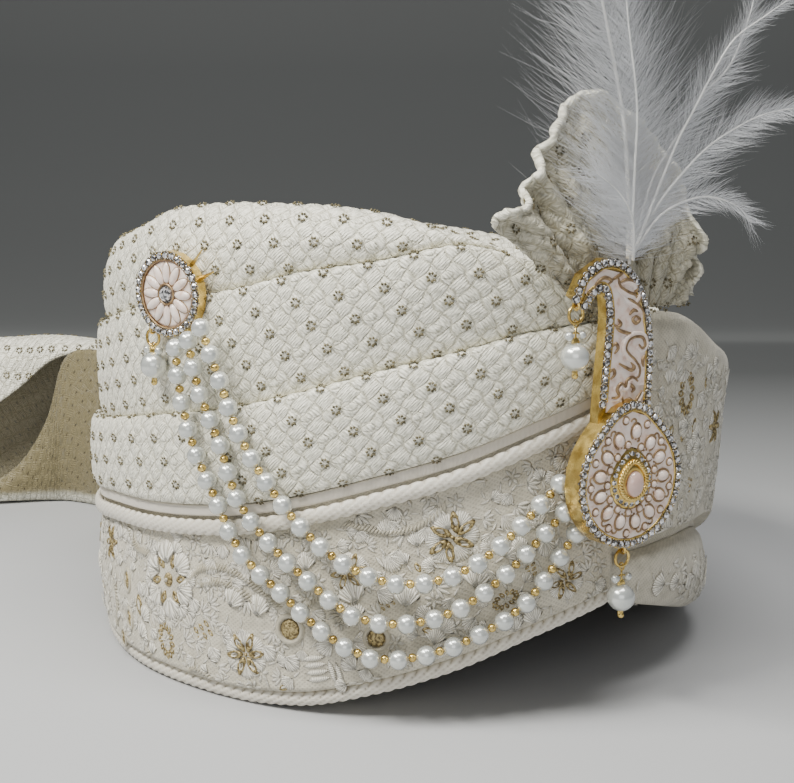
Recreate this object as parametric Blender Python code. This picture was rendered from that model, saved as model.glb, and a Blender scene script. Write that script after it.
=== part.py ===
"""A tied turban of cream brocade with a kalgi, a flower brooch and three strings of pearls.

The front of the turban faces -Y and its tail lies behind it, along +Y. Angles round the turban
are in degrees, from the front towards the wearer's right (-X), then round the back.
"""
import math
from collections import namedtuple

import bmesh
import bpy
from mathutils import Vector

# The wound cloth. Lengths are in metres.
TURBAN_WIDTH = 0.236
TURBAN_LENGTH = 0.260
TURBAN_HEIGHT = 0.166
HOLLOW_WIDTH = 0.158
HOLLOW_LENGTH = 0.196
CROWN_WALL = 0.003
GAP = 0.0003
TURN_STEPS = 40
FRONT_JOINT = 3.0
FRONT_JOINT_GAP = 0.4
NEAR_TIP = 21.0
FAR_TIP = 300.0

# How far each turn of cloth stands back from the widest line, which is the lower wrap's.
BORDER_SETBACK = 0.0040
MIDDLE_SETBACK = 0.0035
TOP_SETBACK = 0.0065
FOLD_ROUND = 0.0035
ROLL_SETBACK = 0.0075
ROLL_ROUND = 0.0100
RIM_ROUND = 0.0090

# The braids and the flat tape on the border
TAPE_HEIGHT = 0.0038
TAPE_THICKNESS = 0.0012
BRAID_HEIGHT = 0.0056
BRAID_THICKNESS = 0.0032
HEM_BRAID_SIZE = 0.0052
HEM_STEP = 0.0062
BRAID_SIDES = 5

# The strings of pearls
PEARL_SIZE = 0.0065
PEARL_PITCH = 0.0092
PEARL_CLEARANCE = 0.00035
BEAD_SIDES = 10

# The kalgi
KALGI_HEIGHT = 0.0925
KALGI_BASE_SIZE = 0.0450
KALGI_STEM_DEPTH = 0.0038
KALGI_BASE_DEPTH = 0.0068
KALGI_STANDOFF = 0.0046
STONE_RIM = 0.0030
ENAMEL_RECESS = 0.0014
ENAMEL_THICKNESS = 0.0012
BEZEL_SIZE = 0.0124
BEZEL_WALL = 0.0010
PINK_STONE_HEIGHT = 0.0030
PIN_WIDTH = 0.0022

# The round brooch
BROOCH_SIZE = 0.0288
BROOCH_DEPTH = 0.0036
BROOCH_ANGLE = 77.5
BROOCH_FACING = 71.0
BROOCH_HEIGHT_SHARE = 0.819
BROOCH_STANDOFF = 0.0012
FLOWER_PETALS = 12
FLOWER_THICKNESS = 0.0016
PRONG_LENGTH = 0.0075

# The drops
RING_SIZE = 0.0066
EYE_SIZE = 0.0036
RING_WIRE = 0.0010
DROP_PEARL = 0.0092
DROP_NECK = 0.0058
RING_STEPS = 10
WIRE_SIDES = 5

# The fan and the plume behind the kalgi
FAN_REACH = 0.088
FAN_PLEATS = 9
FAN_CLOTH = 0.0014
FAN_PLEAT_DEPTH = 0.0050
FAN_LEAN = 0.0300
PLUME_LENGTH = 0.130
QUILL_WIDTH = 0.0050
QUILL_DEPTH = 0.0022
LOCK_SIDES = 6

# The tail
TAIL_HEIGHT = 0.082
TAIL_WIDTH = 0.030
TAIL_CLOTH = 0.0024

# Heights round the turban, as shares of TURBAN_HEIGHT. foot is the lowest edge, hem and border the
# border band's edges, low and high the two seams between the wraps, rim the top and crown the
# height at which the crown cloth turns in.
Station = namedtuple("Station", "angle foot hem border low high rim crown")
STATIONS = (
    Station(3, 0.214, 0.214, 0.655, 0.782, 0.845, 0.850, 0.730),
    Station(18, 0.158, 0.158, 0.592, 0.765, 0.900, 0.907, 0.772),
    Station(29, 0.105, 0.105, 0.540, 0.732, 0.930, 0.948, 0.802),
    Station(42, 0.051, 0.051, 0.490, 0.690, 0.900, 0.986, 0.831),
    Station(55, 0.010, 0.010, 0.440, 0.641, 0.873, 1.000, 0.843),
    Station(66, 0.000, 0.000, 0.408, 0.602, 0.836, 1.000, 0.840),
    Station(84, 0.000, 0.000, 0.377, 0.557, 0.792, 0.983, 0.819),
    Station(98, 0.000, 0.000, 0.361, 0.524, 0.750, 0.938, 0.783),
    Station(112, 0.000, 0.000, 0.337, 0.494, 0.711, 0.907, 0.765),
    Station(130, 0.000, 0.000, 0.319, 0.479, 0.687, 0.895, 0.759),
    Station(180, 0.000, 0.000, 0.313, 0.470, 0.675, 0.904, 0.765),
    Station(210, 0.000, 0.000, 0.325, 0.482, 0.681, 0.886, 0.753),
    Station(240, 0.000, 0.000, 0.373, 0.518, 0.693, 0.849, 0.729),
    Station(268, 0.000, 0.018, 0.470, 0.572, 0.672, 0.765, 0.665),
    Station(285, 0.000, 0.084, 0.548, 0.597, 0.647, 0.700, 0.625),
    Station(300, 0.018, 0.163, 0.610, 0.623, 0.636, 0.649, 0.600),
    Station(315, 0.054, 0.241, 0.657, 0.670, 0.683, 0.696, 0.610),
    Station(330, 0.102, 0.283, 0.702, 0.710, 0.718, 0.726, 0.630),
    Station(345, 0.151, 0.292, 0.777, 0.785, 0.793, 0.801, 0.681),
    Station(363, 0.208, 0.289, 0.798, 0.806, 0.814, 0.822, 0.730),
)

# How far the far side of the border flares out, in shares of BORDER_SETBACK, and how much of
# FOLD_ROUND its upper edge turns in.
Flare = namedtuple("Flare", "angle low middle high lip")
FLARES = (
    Flare(3, -0.75, -0.50, 0.00, 0.0),
    Flare(84, -0.90, -0.60, 0.00, 0.0),
    Flare(115, -0.20, -0.40, 0.00, 0.0),
    Flare(290, 0.00, -0.20, 0.00, 0.0),
    Flare(330, 0.60, 0.10, -0.70, 1.4),
    Flare(363, 0.60, 0.00, -0.50, 1.4),
)

# Routes of the three strings, chosen by hand, in angle and share of TURBAN_HEIGHT
PEARL_ROUTES = {
    "pearl_string_1": ((69.3, 0.762), (66.2, 0.666), (63.0, 0.563), (58.4, 0.472), (52.8, 0.387),
                       (46.5, 0.322), (38.8, 0.288), (30.6, 0.305), (23.5, 0.364), (14.5, 0.478)),
    "pearl_string_2": ((71.9, 0.734), (69.9, 0.633), (66.2, 0.535), (63.3, 0.429), (57.9, 0.348),
                       (51.5, 0.279), (44.9, 0.218), (36.9, 0.210), (29.4, 0.242), (22.8, 0.306),
                       (13.7, 0.421)),
    "pearl_string_3": ((74.6, 0.716), (73.6, 0.615), (71.0, 0.514), (66.9, 0.417), (62.8, 0.321),
                       (56.1, 0.252), (49.9, 0.185), (42.6, 0.138), (34.5, 0.148), (26.9, 0.187),
                       (19.5, 0.248), (11.8, 0.377)),
}

# The kalgi's stem from the base up and over into the hook: centre and width as shares of its height
Stem = namedtuple("Stem", "across up width")
STEM = (
    Stem(-0.010, 0.190, 0.240),
    Stem(-0.004, 0.292, 0.238),
    Stem(0.002, 0.390, 0.232),
    Stem(0.005, 0.490, 0.220),
    Stem(-0.008, 0.600, 0.190),
    Stem(-0.050, 0.685, 0.152),
    Stem(-0.112, 0.712, 0.116),
    Stem(-0.176, 0.684, 0.096),
    Stem(-0.214, 0.628, 0.076),
)
KALGI_ACROSS = -0.0113
KALGI_HEIGHT_SHARE = 0.482

# The fan: bearing in degrees from straight up, to the wearer's right, and reach as a share
Pleat = namedtuple("Pleat", "bearing reach")
FAN_EDGE = (
    Pleat(50, 0.87),
    Pleat(38, 0.84),
    Pleat(27, 0.91),
    Pleat(17, 1.00),
    Pleat(5, 1.02),
    Pleat(-8, 0.90),
    Pleat(-20, 0.72),
    Pleat(-34, 0.51),
    Pleat(-48, 0.36),
)
FAN_ROOT_RISE = 0.0185
FAN_ACROSS = 0.0020
FAN_CENTRE_SHARE = 0.690

# The plume's locks: end, middle and thickness as shares of PLUME_LENGTH
Lock = namedtuple("Lock", "end_x end_y end_z mid_x mid_y mid_z width depth")
LOCKS = (
    Lock(-0.200, -0.05, 1.000, -0.020, -0.08, 0.400, 0.290, 0.130),
    Lock(0.340, -0.02, 0.860, 0.130, -0.06, 0.340, 0.110, 0.090),
    Lock(0.690, -0.02, 0.340, 0.250, -0.06, 0.250, 0.140, 0.090),
    Lock(-0.300, -0.14, 0.260, -0.140, -0.10, 0.170, 0.180, 0.090),
    Lock(0.420, -0.08, 0.130, 0.190, -0.07, 0.110, 0.160, 0.100),
    Lock(-0.080, -0.24, 0.460, -0.040, -0.15, 0.220, 0.180, 0.120),
    Lock(0.080, -0.30, 0.240, 0.040, -0.14, 0.170, 0.180, 0.120),
)
LOCK_SHAPE = ((0.0, 0.10), (0.16, 0.62), (0.42, 1.0), (0.72, 0.72), (0.93, 0.22))

# The tail, from the turban outwards: route in metres from the back of the turban, then shares
Fold = namedtuple("Fold", "across along width height front lip")
TAIL = (
    Fold(0.000, 0.0000, 0.72, 0.90, 0.96, 0.02),
    Fold(-0.002, 0.0450, 0.86, 0.97, 0.98, 0.02),
    Fold(-0.008, 0.0900, 0.96, 1.00, 0.97, 0.03),
    Fold(-0.018, 0.1200, 1.00, 1.00, 0.90, 0.05),
    Fold(-0.031, 0.1340, 1.02, 1.01, 0.50, 0.12),
    Fold(-0.046, 0.1430, 1.08, 1.00, 0.24, 0.27),
    Fold(-0.062, 0.1520, 1.14, 0.99, 0.12, 0.39),
    Fold(-0.088, 0.1660, 1.20, 0.96, 0.08, 0.42),
    Fold(-0.118, 0.1840, 1.24, 0.92, 0.08, 0.40),
)

# Colours as linear red, green and blue
CREAM = (0.66, 0.60, 0.50)
PALE_SATIN = (0.72, 0.67, 0.58)
GOLD = (0.80, 0.52, 0.16)
ENAMEL_PINK = (0.80, 0.58, 0.50)
STONE_PINK = (0.78, 0.36, 0.28)
PEARL_WHITE = (0.83, 0.80, 0.72)
FEATHER_WHITE = (0.86, 0.86, 0.84)


def table_value(rows, column, at):
    """The value of one column at a place along the first, without overshooting its rows."""
    places = [row[0] for row in rows]
    values = [getattr(row, column) for row in rows]
    at = min(max(at, places[0]), places[-1])
    slopes = [(values[i + 1] - values[i]) / (places[i + 1] - places[i]) for i in range(len(rows) - 1)]
    tangents = [slopes[0]]
    for before, after in zip(slopes, slopes[1:]):
        tangents.append(2 * before * after / (before + after) if before * after > 0 else 0.0)
    tangents.append(slopes[-1])
    index = max(i for i in range(len(rows) - 1) if places[i] <= at)
    span = places[index + 1] - places[index]
    share = (at - places[index]) / span
    squared = share * share
    cubed = squared * share
    return ((2 * cubed - 3 * squared + 1) * values[index]
            + (cubed - 2 * squared + share) * span * tangents[index]
            + (3 * squared - 2 * cubed) * values[index + 1]
            + (cubed - squared) * span * tangents[index + 1])


def height_at(column, angle):
    """A height of the turban's table, in metres."""
    return TURBAN_HEIGHT * table_value(STATIONS, column, angle)


def turn_angle(step):
    """The angle of a step round the turban; the first and last leave the front joint open."""
    angle = FRONT_JOINT + 360.0 * step / TURN_STEPS
    if step == 0:
        angle += FRONT_JOINT_GAP
    if step == TURN_STEPS:
        angle -= FRONT_JOINT_GAP
    return angle


def step_near(angle):
    """The step of the turban's rings that lies nearest an angle."""
    return round((angle - FRONT_JOINT) * TURN_STEPS / 360.0)


def on_oval(angle, half_width, half_length, height):
    """A point of an oval round the turban's axis."""
    turn = math.radians(angle)
    return Vector((-half_width * math.sin(turn), -half_length * math.cos(turn), height))


def on_turban(angle, setback, height):
    """A point that lies a given way inside the turban's widest line."""
    return on_oval(angle, TURBAN_WIDTH / 2 - setback, TURBAN_LENGTH / 2 - setback, height)


def on_crown(angle, height):
    """A point of the wraps' inner face, one gap outside the crown cloth."""
    outside = CROWN_WALL + GAP
    return on_oval(angle, HOLLOW_WIDTH / 2 + outside, HOLLOW_LENGTH / 2 + outside, height)


def cloth_material(name, colour, roughness, metallic=0.0):
    """A Principled material with one colour."""
    material = bpy.data.materials.new(name)
    material.use_nodes = True
    shader = material.node_tree.nodes["Principled BSDF"]
    shader.inputs["Base Color"].default_value = (*colour, 1.0)
    shader.inputs["Roughness"].default_value = roughness
    shader.inputs["Metallic"].default_value = metallic
    return material


def add_object(name, mesh_builder, finish):
    """A mesh object from a bmesh, closed with its faces pointing out, in one material."""
    bmesh.ops.recalc_face_normals(mesh_builder, faces=mesh_builder.faces)
    mesh = bpy.data.meshes.new(name)
    mesh_builder.to_mesh(mesh)
    mesh_builder.free()
    colour, roughness, metallic = finish
    mesh.materials.append(cloth_material(name, colour, roughness, metallic))
    piece = bpy.data.objects.new(name, mesh)
    bpy.context.collection.objects.link(piece)
    return piece


def loft(name, sections, finish, closed=False, level_top=False):
    """A solid through sections of equal point counts, capped at both ends or joined round.

    With a level top, each section's last two points are the turn's upper face, which is split
    the same way as the lower face of the turn above, so that the gap between them is even.
    """
    builder = bmesh.new()
    rows = [[builder.verts.new(point) for point in section] for section in sections]
    pairs = list(zip(rows, rows[1:]))
    if closed:
        pairs.append((rows[-1], rows[0]))
    for row, following in pairs:
        for index in range(len(row)):
            after = (index + 1) % len(row)
            if level_top and index == len(row) - 2:
                builder.faces.new((row[index], row[after], following[index]))
                builder.faces.new((row[after], following[after], following[index]))
            else:
                builder.faces.new((row[index], row[after], following[after]))
                builder.faces.new((row[index], following[after], following[index]))
    if not closed:
        builder.faces.new(rows[0])
        builder.faces.new(rows[-1])
    return add_object(name, builder, finish)


def fuse(body, additions):
    """Joins solids into one body."""
    for addition in additions:
        union = body.modifiers.new("join", "BOOLEAN")
        union.operation = "UNION"
        union.solver = "EXACT"
        union.object = addition
        graph = bpy.context.evaluated_depsgraph_get()
        joined = bpy.data.meshes.new_from_object(body.evaluated_get(graph))
        body.modifiers.clear()
        body.data = joined
        bpy.data.objects.remove(addition)
    return body


def spline_points(points, per_span):
    """A smooth curve through points."""
    ends = [points[0] * 2 - points[1]] + list(points) + [points[-1] * 2 - points[-2]]
    curve = []
    for before, start, end, after in zip(ends, ends[1:], ends[2:], ends[3:]):
        for step in range(per_span):
            share = step / per_span
            curve.append(0.5 * (2 * start + (end - before) * share
                                + (2 * before - 5 * start + 4 * end - after) * share ** 2
                                + (3 * start - before - 3 * end + after) * share ** 3))
    curve.append(points[-1].copy())
    return curve


def evenly_spaced(curve, pitch):
    """Points along a curve at equal distances near a pitch, from its first point to its last."""
    lengths = [0.0]
    for start, end in zip(curve, curve[1:]):
        lengths.append(lengths[-1] + (end - start).length)
    count = max(2, round(lengths[-1] / pitch) + 1)
    spaced = []
    index = 0
    for number in range(count):
        wanted = lengths[-1] * number / (count - 1)
        while index < len(curve) - 2 and lengths[index + 1] < wanted:
            index += 1
        share = (wanted - lengths[index]) / (lengths[index + 1] - lengths[index])
        spaced.append(curve[index].lerp(curve[index + 1], share))
    return spaced


# The crown and the wraps

def make_crown_cloth():
    """A dome of cloth, open below, that holds the head."""
    steps = range(0, TURN_STEPS, 2)
    centre = max(height_at("crown", turn_angle(step)) for step in steps) + CROWN_WALL * 2
    shares = (1.0, 0.97, 0.86, 0.62, 0.32)
    builder = bmesh.new()

    def ring(share, inset, drop, foot):
        points = []
        for step in steps:
            angle = FRONT_JOINT + 360.0 * step / TURN_STEPS
            edge = height_at("crown", angle)
            if foot:
                height = height_at("foot", angle) + CROWN_WALL / 6
            elif share == 1.0:
                height = edge - CROWN_WALL * 5
            else:
                height = centre + (edge - centre) * share ** 2
            half_width = (HOLLOW_WIDTH / 2 + CROWN_WALL - inset) * share
            half_length = (HOLLOW_LENGTH / 2 + CROWN_WALL - inset) * share
            points.append(builder.verts.new(on_oval(angle, half_width, half_length, height - drop)))
        return points

    outside = [ring(1.0, 0.0, 0.0, True)] + [ring(share, 0.0, 0.0, False) for share in shares]
    inside = [ring(share, CROWN_WALL, CROWN_WALL, False) for share in reversed(shares)]
    inside.append(ring(1.0, CROWN_WALL, 0.0, True))
    for rings in (outside, inside):
        for lower, upper in zip(rings, rings[1:]):
            for index in range(len(lower)):
                after = (index + 1) % len(lower)
                builder.faces.new((lower[index], lower[after], upper[after], upper[index]))
    for index in range(len(outside[0])):
        after = (index + 1) % len(outside[0])
        builder.faces.new((outside[0][index], outside[0][after], inside[-1][after], inside[-1][index]))
    builder.faces.new(outside[-1])
    builder.faces.new(inside[0])
    return add_object("crown_cloth", builder, (CREAM, 0.8, 0.0))


def wrap_section(angle, lower, upper, setback, rounding=FOLD_ROUND):
    """A wound turn of cloth: flat inside and between turns, rounded outside."""
    bottom = lower + GAP / 2
    top = upper - GAP / 2
    tall = top - bottom
    curl = rounding * min(1.0, tall / (4 * rounding))
    return [
        on_crown(angle, bottom),
        on_turban(angle, setback + curl, bottom),
        on_turban(angle, setback + curl * 0.22, bottom + tall * 0.2),
        on_turban(angle, setback, bottom + tall * 0.5),
        on_turban(angle, setback + curl * 0.22, bottom + tall * 0.8),
        on_turban(angle, setback + curl, top),
        on_crown(angle, top),
    ]


def rim_section(angle, lower, upper, setback):
    """The uppermost turn, which rolls in over the crown."""
    bottom = lower + GAP / 2
    tall = upper - bottom
    curl = FOLD_ROUND * min(1.0, tall / (4 * FOLD_ROUND))
    roll = RIM_ROUND * min(1.0, tall / (2 * RIM_ROUND))
    return [
        on_crown(angle, bottom),
        on_turban(angle, setback + curl, bottom),
        on_turban(angle, setback + curl * 0.2, bottom + tall * 0.2),
        on_turban(angle, setback + roll * 0.1, bottom + tall * 0.55),
        on_turban(angle, setback + roll * 0.45, bottom + tall * 0.85),
        on_turban(angle, setback + roll * 1.1, upper),
        on_crown(angle, bottom + tall * 0.75),
    ]


def tip_setback(step, first, last):
    """How far a turn draws in at an end that is tucked under."""
    reach = 3
    near = min(step - first, last - step)
    if near >= reach:
        return 0.0
    return BORDER_SETBACK * (1 - near / reach) ** 2


def make_wraps():
    """Three turns of cloth between the border and the rim."""
    far_tip = step_near(FAR_TIP)
    near_tip = step_near(NEAR_TIP)
    rows = (
        ("lower_wrap", 0, far_tip, "border", "low", 0.0, wrap_section),
        ("middle_wrap", 0, far_tip, "low", "high", MIDDLE_SETBACK, wrap_section),
        ("top_wrap", near_tip, far_tip, "high", "rim", TOP_SETBACK, rim_section),
    )
    for name, first, last, lower, upper, setback, section in rows:
        sections = []
        for step in range(first, last + 1):
            angle = turn_angle(step)
            inset = tip_setback(step, first if first else -TURN_STEPS, last)
            low, high = height_at(lower, angle), height_at(upper, angle)
            sections.append(section(angle, low, high, setback + inset))
        loft(name, sections, (CREAM, 0.75, 0.0), level_top=True)


def border_setback(angle, part):
    """How far the border's face stands back at its foot, middle or upper edge."""
    return BORDER_SETBACK * (1 + table_value(FLARES, part, angle))


def make_border_band():
    """The embroidered border, once round the bottom, with a step along its foot for the braid."""
    sections = []
    for step in range(TURN_STEPS + 1):
        angle = turn_angle(step)
        bottom = height_at("hem", angle)
        top = height_at("border", angle) - GAP / 2
        low, middle, high = (border_setback(angle, part) for part in ("low", "middle", "high"))
        lip = FOLD_ROUND * table_value(FLARES, "lip", angle)
        face_top = top - TAPE_HEIGHT - BRAID_HEIGHT - 8 * GAP
        sections.append([
            on_crown(angle, bottom),
            on_turban(angle, low + HEM_STEP, bottom),
            on_turban(angle, low + HEM_STEP, bottom + HEM_STEP),
            on_turban(angle, low, bottom + HEM_STEP * 1.05),
            on_turban(angle, middle, bottom + (top - bottom) * 0.45),
            on_turban(angle, high, face_top),
            on_turban(angle, high + lip, top),
            on_crown(angle, top),
        ])
    loft("border_band", sections, (CREAM, 0.7, 0.0), level_top=True)


def make_front_roll():
    """The rolled turn below the border on the wearer's left."""
    sections = []
    for step in range(step_near(277), TURN_STEPS + 1):
        angle = turn_angle(step)
        top = height_at("hem", angle) - GAP / 2
        section = wrap_section(angle, height_at("foot", angle) - GAP / 2, top, ROLL_SETBACK, ROLL_ROUND)
        section[-2] = on_turban(angle, border_setback(angle, "low") + HEM_STEP, top - GAP / 2)
        sections.append(section)
    loft("front_roll", sections, (CREAM, 0.75, 0.0), level_top=True)


def edge_strip(name, first, last, centre_of, half_depth, half_height, sides, finish):
    """A braid or a tape that follows an edge of the border."""
    sections = []
    for step in range(first, last + 1):
        angle = turn_angle(step)
        setback, height = centre_of(angle)
        section = []
        for side in range(sides):
            turn = 2 * math.pi * (side + 0.5) / sides
            reach = 1 / math.cos(math.pi / sides)
            section.append(on_turban(angle, setback - half_depth * reach * math.cos(turn),
                                     height + half_height * reach * math.sin(turn)))
        sections.append(section)
    return loft(name, sections, finish)


def make_border_trims():
    """The satin tape, the rope braid under it and the braid along the hem."""
    satin = (PALE_SATIN, 0.45, 0.0)
    trim_end = step_near(286)
    half_depth = TAPE_THICKNESS / 2
    half_height = TAPE_HEIGHT / 2

    def tape_centre(angle):
        return (border_setback(angle, "high") - GAP - half_depth,
                height_at("border", angle) - GAP - half_height)

    def braid_centre(angle):
        below = TAPE_HEIGHT + BRAID_HEIGHT / 2 + 3 * GAP
        return (border_setback(angle, "high") - GAP - BRAID_THICKNESS / 2,
                height_at("border", angle) - below)

    def hem_centre(angle):
        return (border_setback(angle, "low") + HEM_STEP - GAP - HEM_BRAID_SIZE / 2,
                height_at("hem", angle) + HEM_BRAID_SIZE / 2)

    edge_strip("satin_tape", 0, trim_end, tape_centre, half_depth, half_height, 4, satin)
    round_share = math.cos(math.pi / BRAID_SIDES)
    edge_strip("rope_braid", 0, trim_end, braid_centre, BRAID_THICKNESS / 2 * round_share,
               BRAID_HEIGHT / 2 * round_share, BRAID_SIDES, satin)
    edge_strip("hem_braid", 0, step_near(268), hem_centre, HEM_BRAID_SIZE / 2 * round_share,
               HEM_BRAID_SIZE / 2 * round_share, BRAID_SIDES, satin)


# The strings of pearls

def make_pearl_strings():
    """Strings of pearls, each one fused body whose necks stand for the gold beads between."""
    radius = PEARL_SIZE / 2
    standoff = radius + PEARL_CLEARANCE
    for name, route in PEARL_ROUTES.items():
        route_points = [on_turban(angle, -standoff, share * TURBAN_HEIGHT) for angle, share in route]
        centres = evenly_spaced(spline_points(route_points, 12), PEARL_PITCH)
        sections = []
        for index, centre in enumerate(centres):
            before = centres[max(index - 1, 0)]
            after = centres[min(index + 1, len(centres) - 1)]
            along = (after - before).normalized()
            outward = Vector((centre.x, centre.y, 0.0)).normalized()
            side = along.cross(outward).normalized()
            outward = side.cross(along)
            for latitude in (-67.5, -22.5, 22.5, 67.5):
                ring = math.radians(latitude)
                middle = centre + along * radius * math.sin(ring)
                section = []
                for corner in range(BEAD_SIDES):
                    turn = 2 * math.pi * corner / BEAD_SIDES
                    spoke = outward * math.cos(turn) + side * math.sin(turn)
                    section.append(middle + spoke * radius * math.cos(ring))
                sections.append(section)
        loft(name, sections, (PEARL_WHITE, 0.25, 0.0))


# Small metal parts, drawn in their own frame: x across, z up, the front towards -y

def ring_solid(name, centre, size, wire, across, finish):
    """A wire ring, seen face on from the front or, when it lies across, from the side."""
    sections = []
    major = (size - wire) / 2
    for step in range(RING_STEPS):
        turn = 2 * math.pi * step / RING_STEPS
        section = []
        for side in range(WIRE_SIDES):
            spin = 2 * math.pi * side / WIRE_SIDES
            reach = major + wire / 2 * math.cos(spin)
            depth = wire / 2 * math.sin(spin)
            flat = Vector((reach * math.cos(turn), depth, reach * math.sin(turn)))
            if across:
                flat = Vector((depth, flat.x, flat.z))
            section.append(centre + flat)
        sections.append(section)
    return loft(name, sections, finish, closed=True)


def turned_solid(name, top, profile, finish):
    """A turned solid that hangs below a point: rows of drop and radius."""
    sections = []
    for drop, radius in profile:
        section = []
        for corner in range(BEAD_SIDES):
            turn = 2 * math.pi * corner / BEAD_SIDES
            section.append(top + Vector((radius * math.cos(turn), radius * math.sin(turn), -drop)))
        sections.append(section)
    return loft(name, sections, finish)


def box_solid(name, low, high, finish):
    """A plain bar between two corners."""
    corners = ((low.y, low.z), (high.y, low.z), (high.y, high.z), (low.y, high.z))
    first = [Vector((low.x, y, z)) for y, z in corners]
    last = [Vector((high.x, point.y, point.z)) for point in first]
    return loft(name, (first, last), finish)


def ring_below(eye):
    """The centre of the ring that hangs through an eye."""
    return eye - Vector((0.0, 0.0, (RING_SIZE - RING_WIRE) / 2))


def make_drop(name, eye, neck):
    """A ring through an eye with a neck, a pearl and a gold bead below it, fused in one."""
    gold = (GOLD, 0.25, 1.0)
    centre = ring_below(eye)
    drop = ring_solid(name, centre, RING_SIZE, RING_WIRE, False, gold)
    radius = DROP_PEARL / 2
    pearl_centre = neck + radius
    profile = [(0.0, RING_WIRE * 0.55), (neck * 0.7, RING_WIRE * 1.1)]
    for latitude in (-67.5, -22.5, 22.5, 67.5):
        ring = math.radians(latitude)
        profile.append((pearl_centre + radius * math.sin(ring), radius * math.cos(ring)))
    bead = pearl_centre + radius + RING_WIRE
    profile.append((bead, RING_WIRE * 1.2))
    profile.append((bead + RING_WIRE, RING_WIRE * 0.5))
    foot = centre - Vector((0.0, 0.0, (RING_SIZE - RING_WIRE) / 2))
    fuse(drop, [turned_solid(name + "_pearl", foot, profile, gold)])
    return drop


# The kalgi

def teardrop(size, depth, up=0.0, steps=24):
    """An outline that is round below and comes to a soft point above."""
    points = []
    for step in range(steps):
        turn = 2 * math.pi * step / steps
        point_share = max(0.0, math.cos(turn)) ** 10
        reach = size / 2 * (0.97 + 0.20 * point_share)
        points.append(Vector((reach * math.sin(turn), depth, up + reach * math.cos(turn))))
    return points


def stem_outline(inset, depth, first=0):
    """The outline of the kalgi's stem and hook from one row on, drawn in by an inset."""
    centres = [Vector((row.across * KALGI_HEIGHT, 0.0, row.up * KALGI_HEIGHT)) for row in STEM]
    left, right = [], []
    for index, (row, centre) in enumerate(zip(STEM, centres)):
        before = centres[max(index - 1, 0)]
        after = centres[min(index + 1, len(centres) - 1)]
        along = (after - before).normalized()
        side = Vector((along.z, 0.0, -along.x))
        half = row.width * KALGI_HEIGHT / 2 - inset
        end = 0.0
        if index < first:
            continue
        if index == first:
            end = inset
        if index == len(centres) - 1:
            end = -inset
        left.append(centre - side * half + along * end + Vector((0.0, depth, 0.0)))
        right.append(centre + side * half + along * end + Vector((0.0, depth, 0.0)))
    return right + left[::-1]


def make_kalgi(place):
    """The kalgi's metal, its enamel panels, its stone and its two drops."""
    gold = (GOLD, 0.3, 1.0)
    stem_front = -KALGI_STEM_DEPTH
    stem_floor = stem_front + ENAMEL_RECESS
    stem = loft("kalgi_stem", [
        stem_outline(0.0, 0.0),
        stem_outline(0.0, stem_front),
        stem_outline(STONE_RIM, stem_front),
        stem_outline(STONE_RIM, stem_floor),
    ], gold)
    base_front = -KALGI_BASE_DEPTH
    base_floor = base_front + ENAMEL_RECESS
    bezel_back = PINK_STONE_HEIGHT * 0.5
    inner_rim = KALGI_BASE_SIZE - 2 * STONE_RIM
    bezel_rim = BEZEL_SIZE + 2 * STONE_RIM
    bezel_seat = BEZEL_SIZE - 2 * BEZEL_WALL
    kalgi = loft("kalgi", [
        teardrop(KALGI_BASE_SIZE, 0.0),
        teardrop(KALGI_BASE_SIZE, base_front),
        teardrop(inner_rim, base_front),
        teardrop(inner_rim, base_floor),
        teardrop(bezel_rim, base_floor),
        teardrop(bezel_rim, base_front),
        teardrop(BEZEL_SIZE, base_front - BEZEL_WALL),
        teardrop(bezel_seat, base_front - BEZEL_WALL),
        teardrop(bezel_seat, base_floor),
    ], gold)
    hook_end = Vector((STEM[-1].across * KALGI_HEIGHT, stem_front / 2, STEM[-1].up * KALGI_HEIGHT))
    hook_eye = hook_end - Vector((EYE_SIZE * 0.05, 0.0, EYE_SIZE * 0.30))
    base_eye = Vector((0.0, base_front / 2, -KALGI_BASE_SIZE * 0.485 - EYE_SIZE * 0.35))
    face_setback = border_setback(FRONT_JOINT, "middle")
    face_share = -place.x / (TURBAN_WIDTH / 2 - face_setback)
    face_depth = (TURBAN_LENGTH / 2 - face_setback) * math.sqrt(1 - face_share ** 2)
    pin_reach = -place.y - face_depth - GAP
    pin = box_solid("kalgi_pin", Vector((-PIN_WIDTH / 2, -KALGI_STEM_DEPTH / 2, -KALGI_BASE_SIZE * 0.28)),
                    Vector((PIN_WIDTH / 2, pin_reach, -KALGI_BASE_SIZE * 0.05)), gold)
    eyes = [ring_solid("eye", eye, EYE_SIZE, RING_WIRE, True, gold) for eye in (hook_eye, base_eye)]
    fuse(kalgi, [stem, pin] + eyes)

    panel = base_floor - GAP
    panel_front = panel - ENAMEL_THICKNESS
    enamel = (ENAMEL_PINK, 0.35, 0.0)
    outer = inner_rim - 2 * GAP
    inner = bezel_rim + 2 * GAP
    base_enamel = loft("base_enamel", [
        teardrop(outer, panel), teardrop(outer, panel_front),
        teardrop(inner, panel_front), teardrop(inner, panel),
    ], enamel, closed=True)
    stem_panel = stem_floor - GAP
    inset = STONE_RIM + GAP
    stem_enamel = loft("stem_enamel", [
        stem_outline(inset, stem_panel, 1), stem_outline(inset, stem_panel - ENAMEL_THICKNESS, 1),
    ], enamel)
    stone_size = bezel_seat - 2 * GAP
    stone = loft("kalgi_stone", [
        teardrop(stone_size, panel, steps=12),
        teardrop(stone_size, panel - PINK_STONE_HEIGHT * 0.5, steps=12),
        teardrop(stone_size * 0.62, panel - PINK_STONE_HEIGHT, steps=12),
    ], (STONE_PINK, 0.15, 0.0))
    drops = [make_drop("hook_drop", hook_eye, DROP_NECK), make_drop("base_drop", base_eye, DROP_NECK)]
    for piece in [kalgi, base_enamel, stem_enamel, stone] + drops:
        piece.location = place


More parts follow.
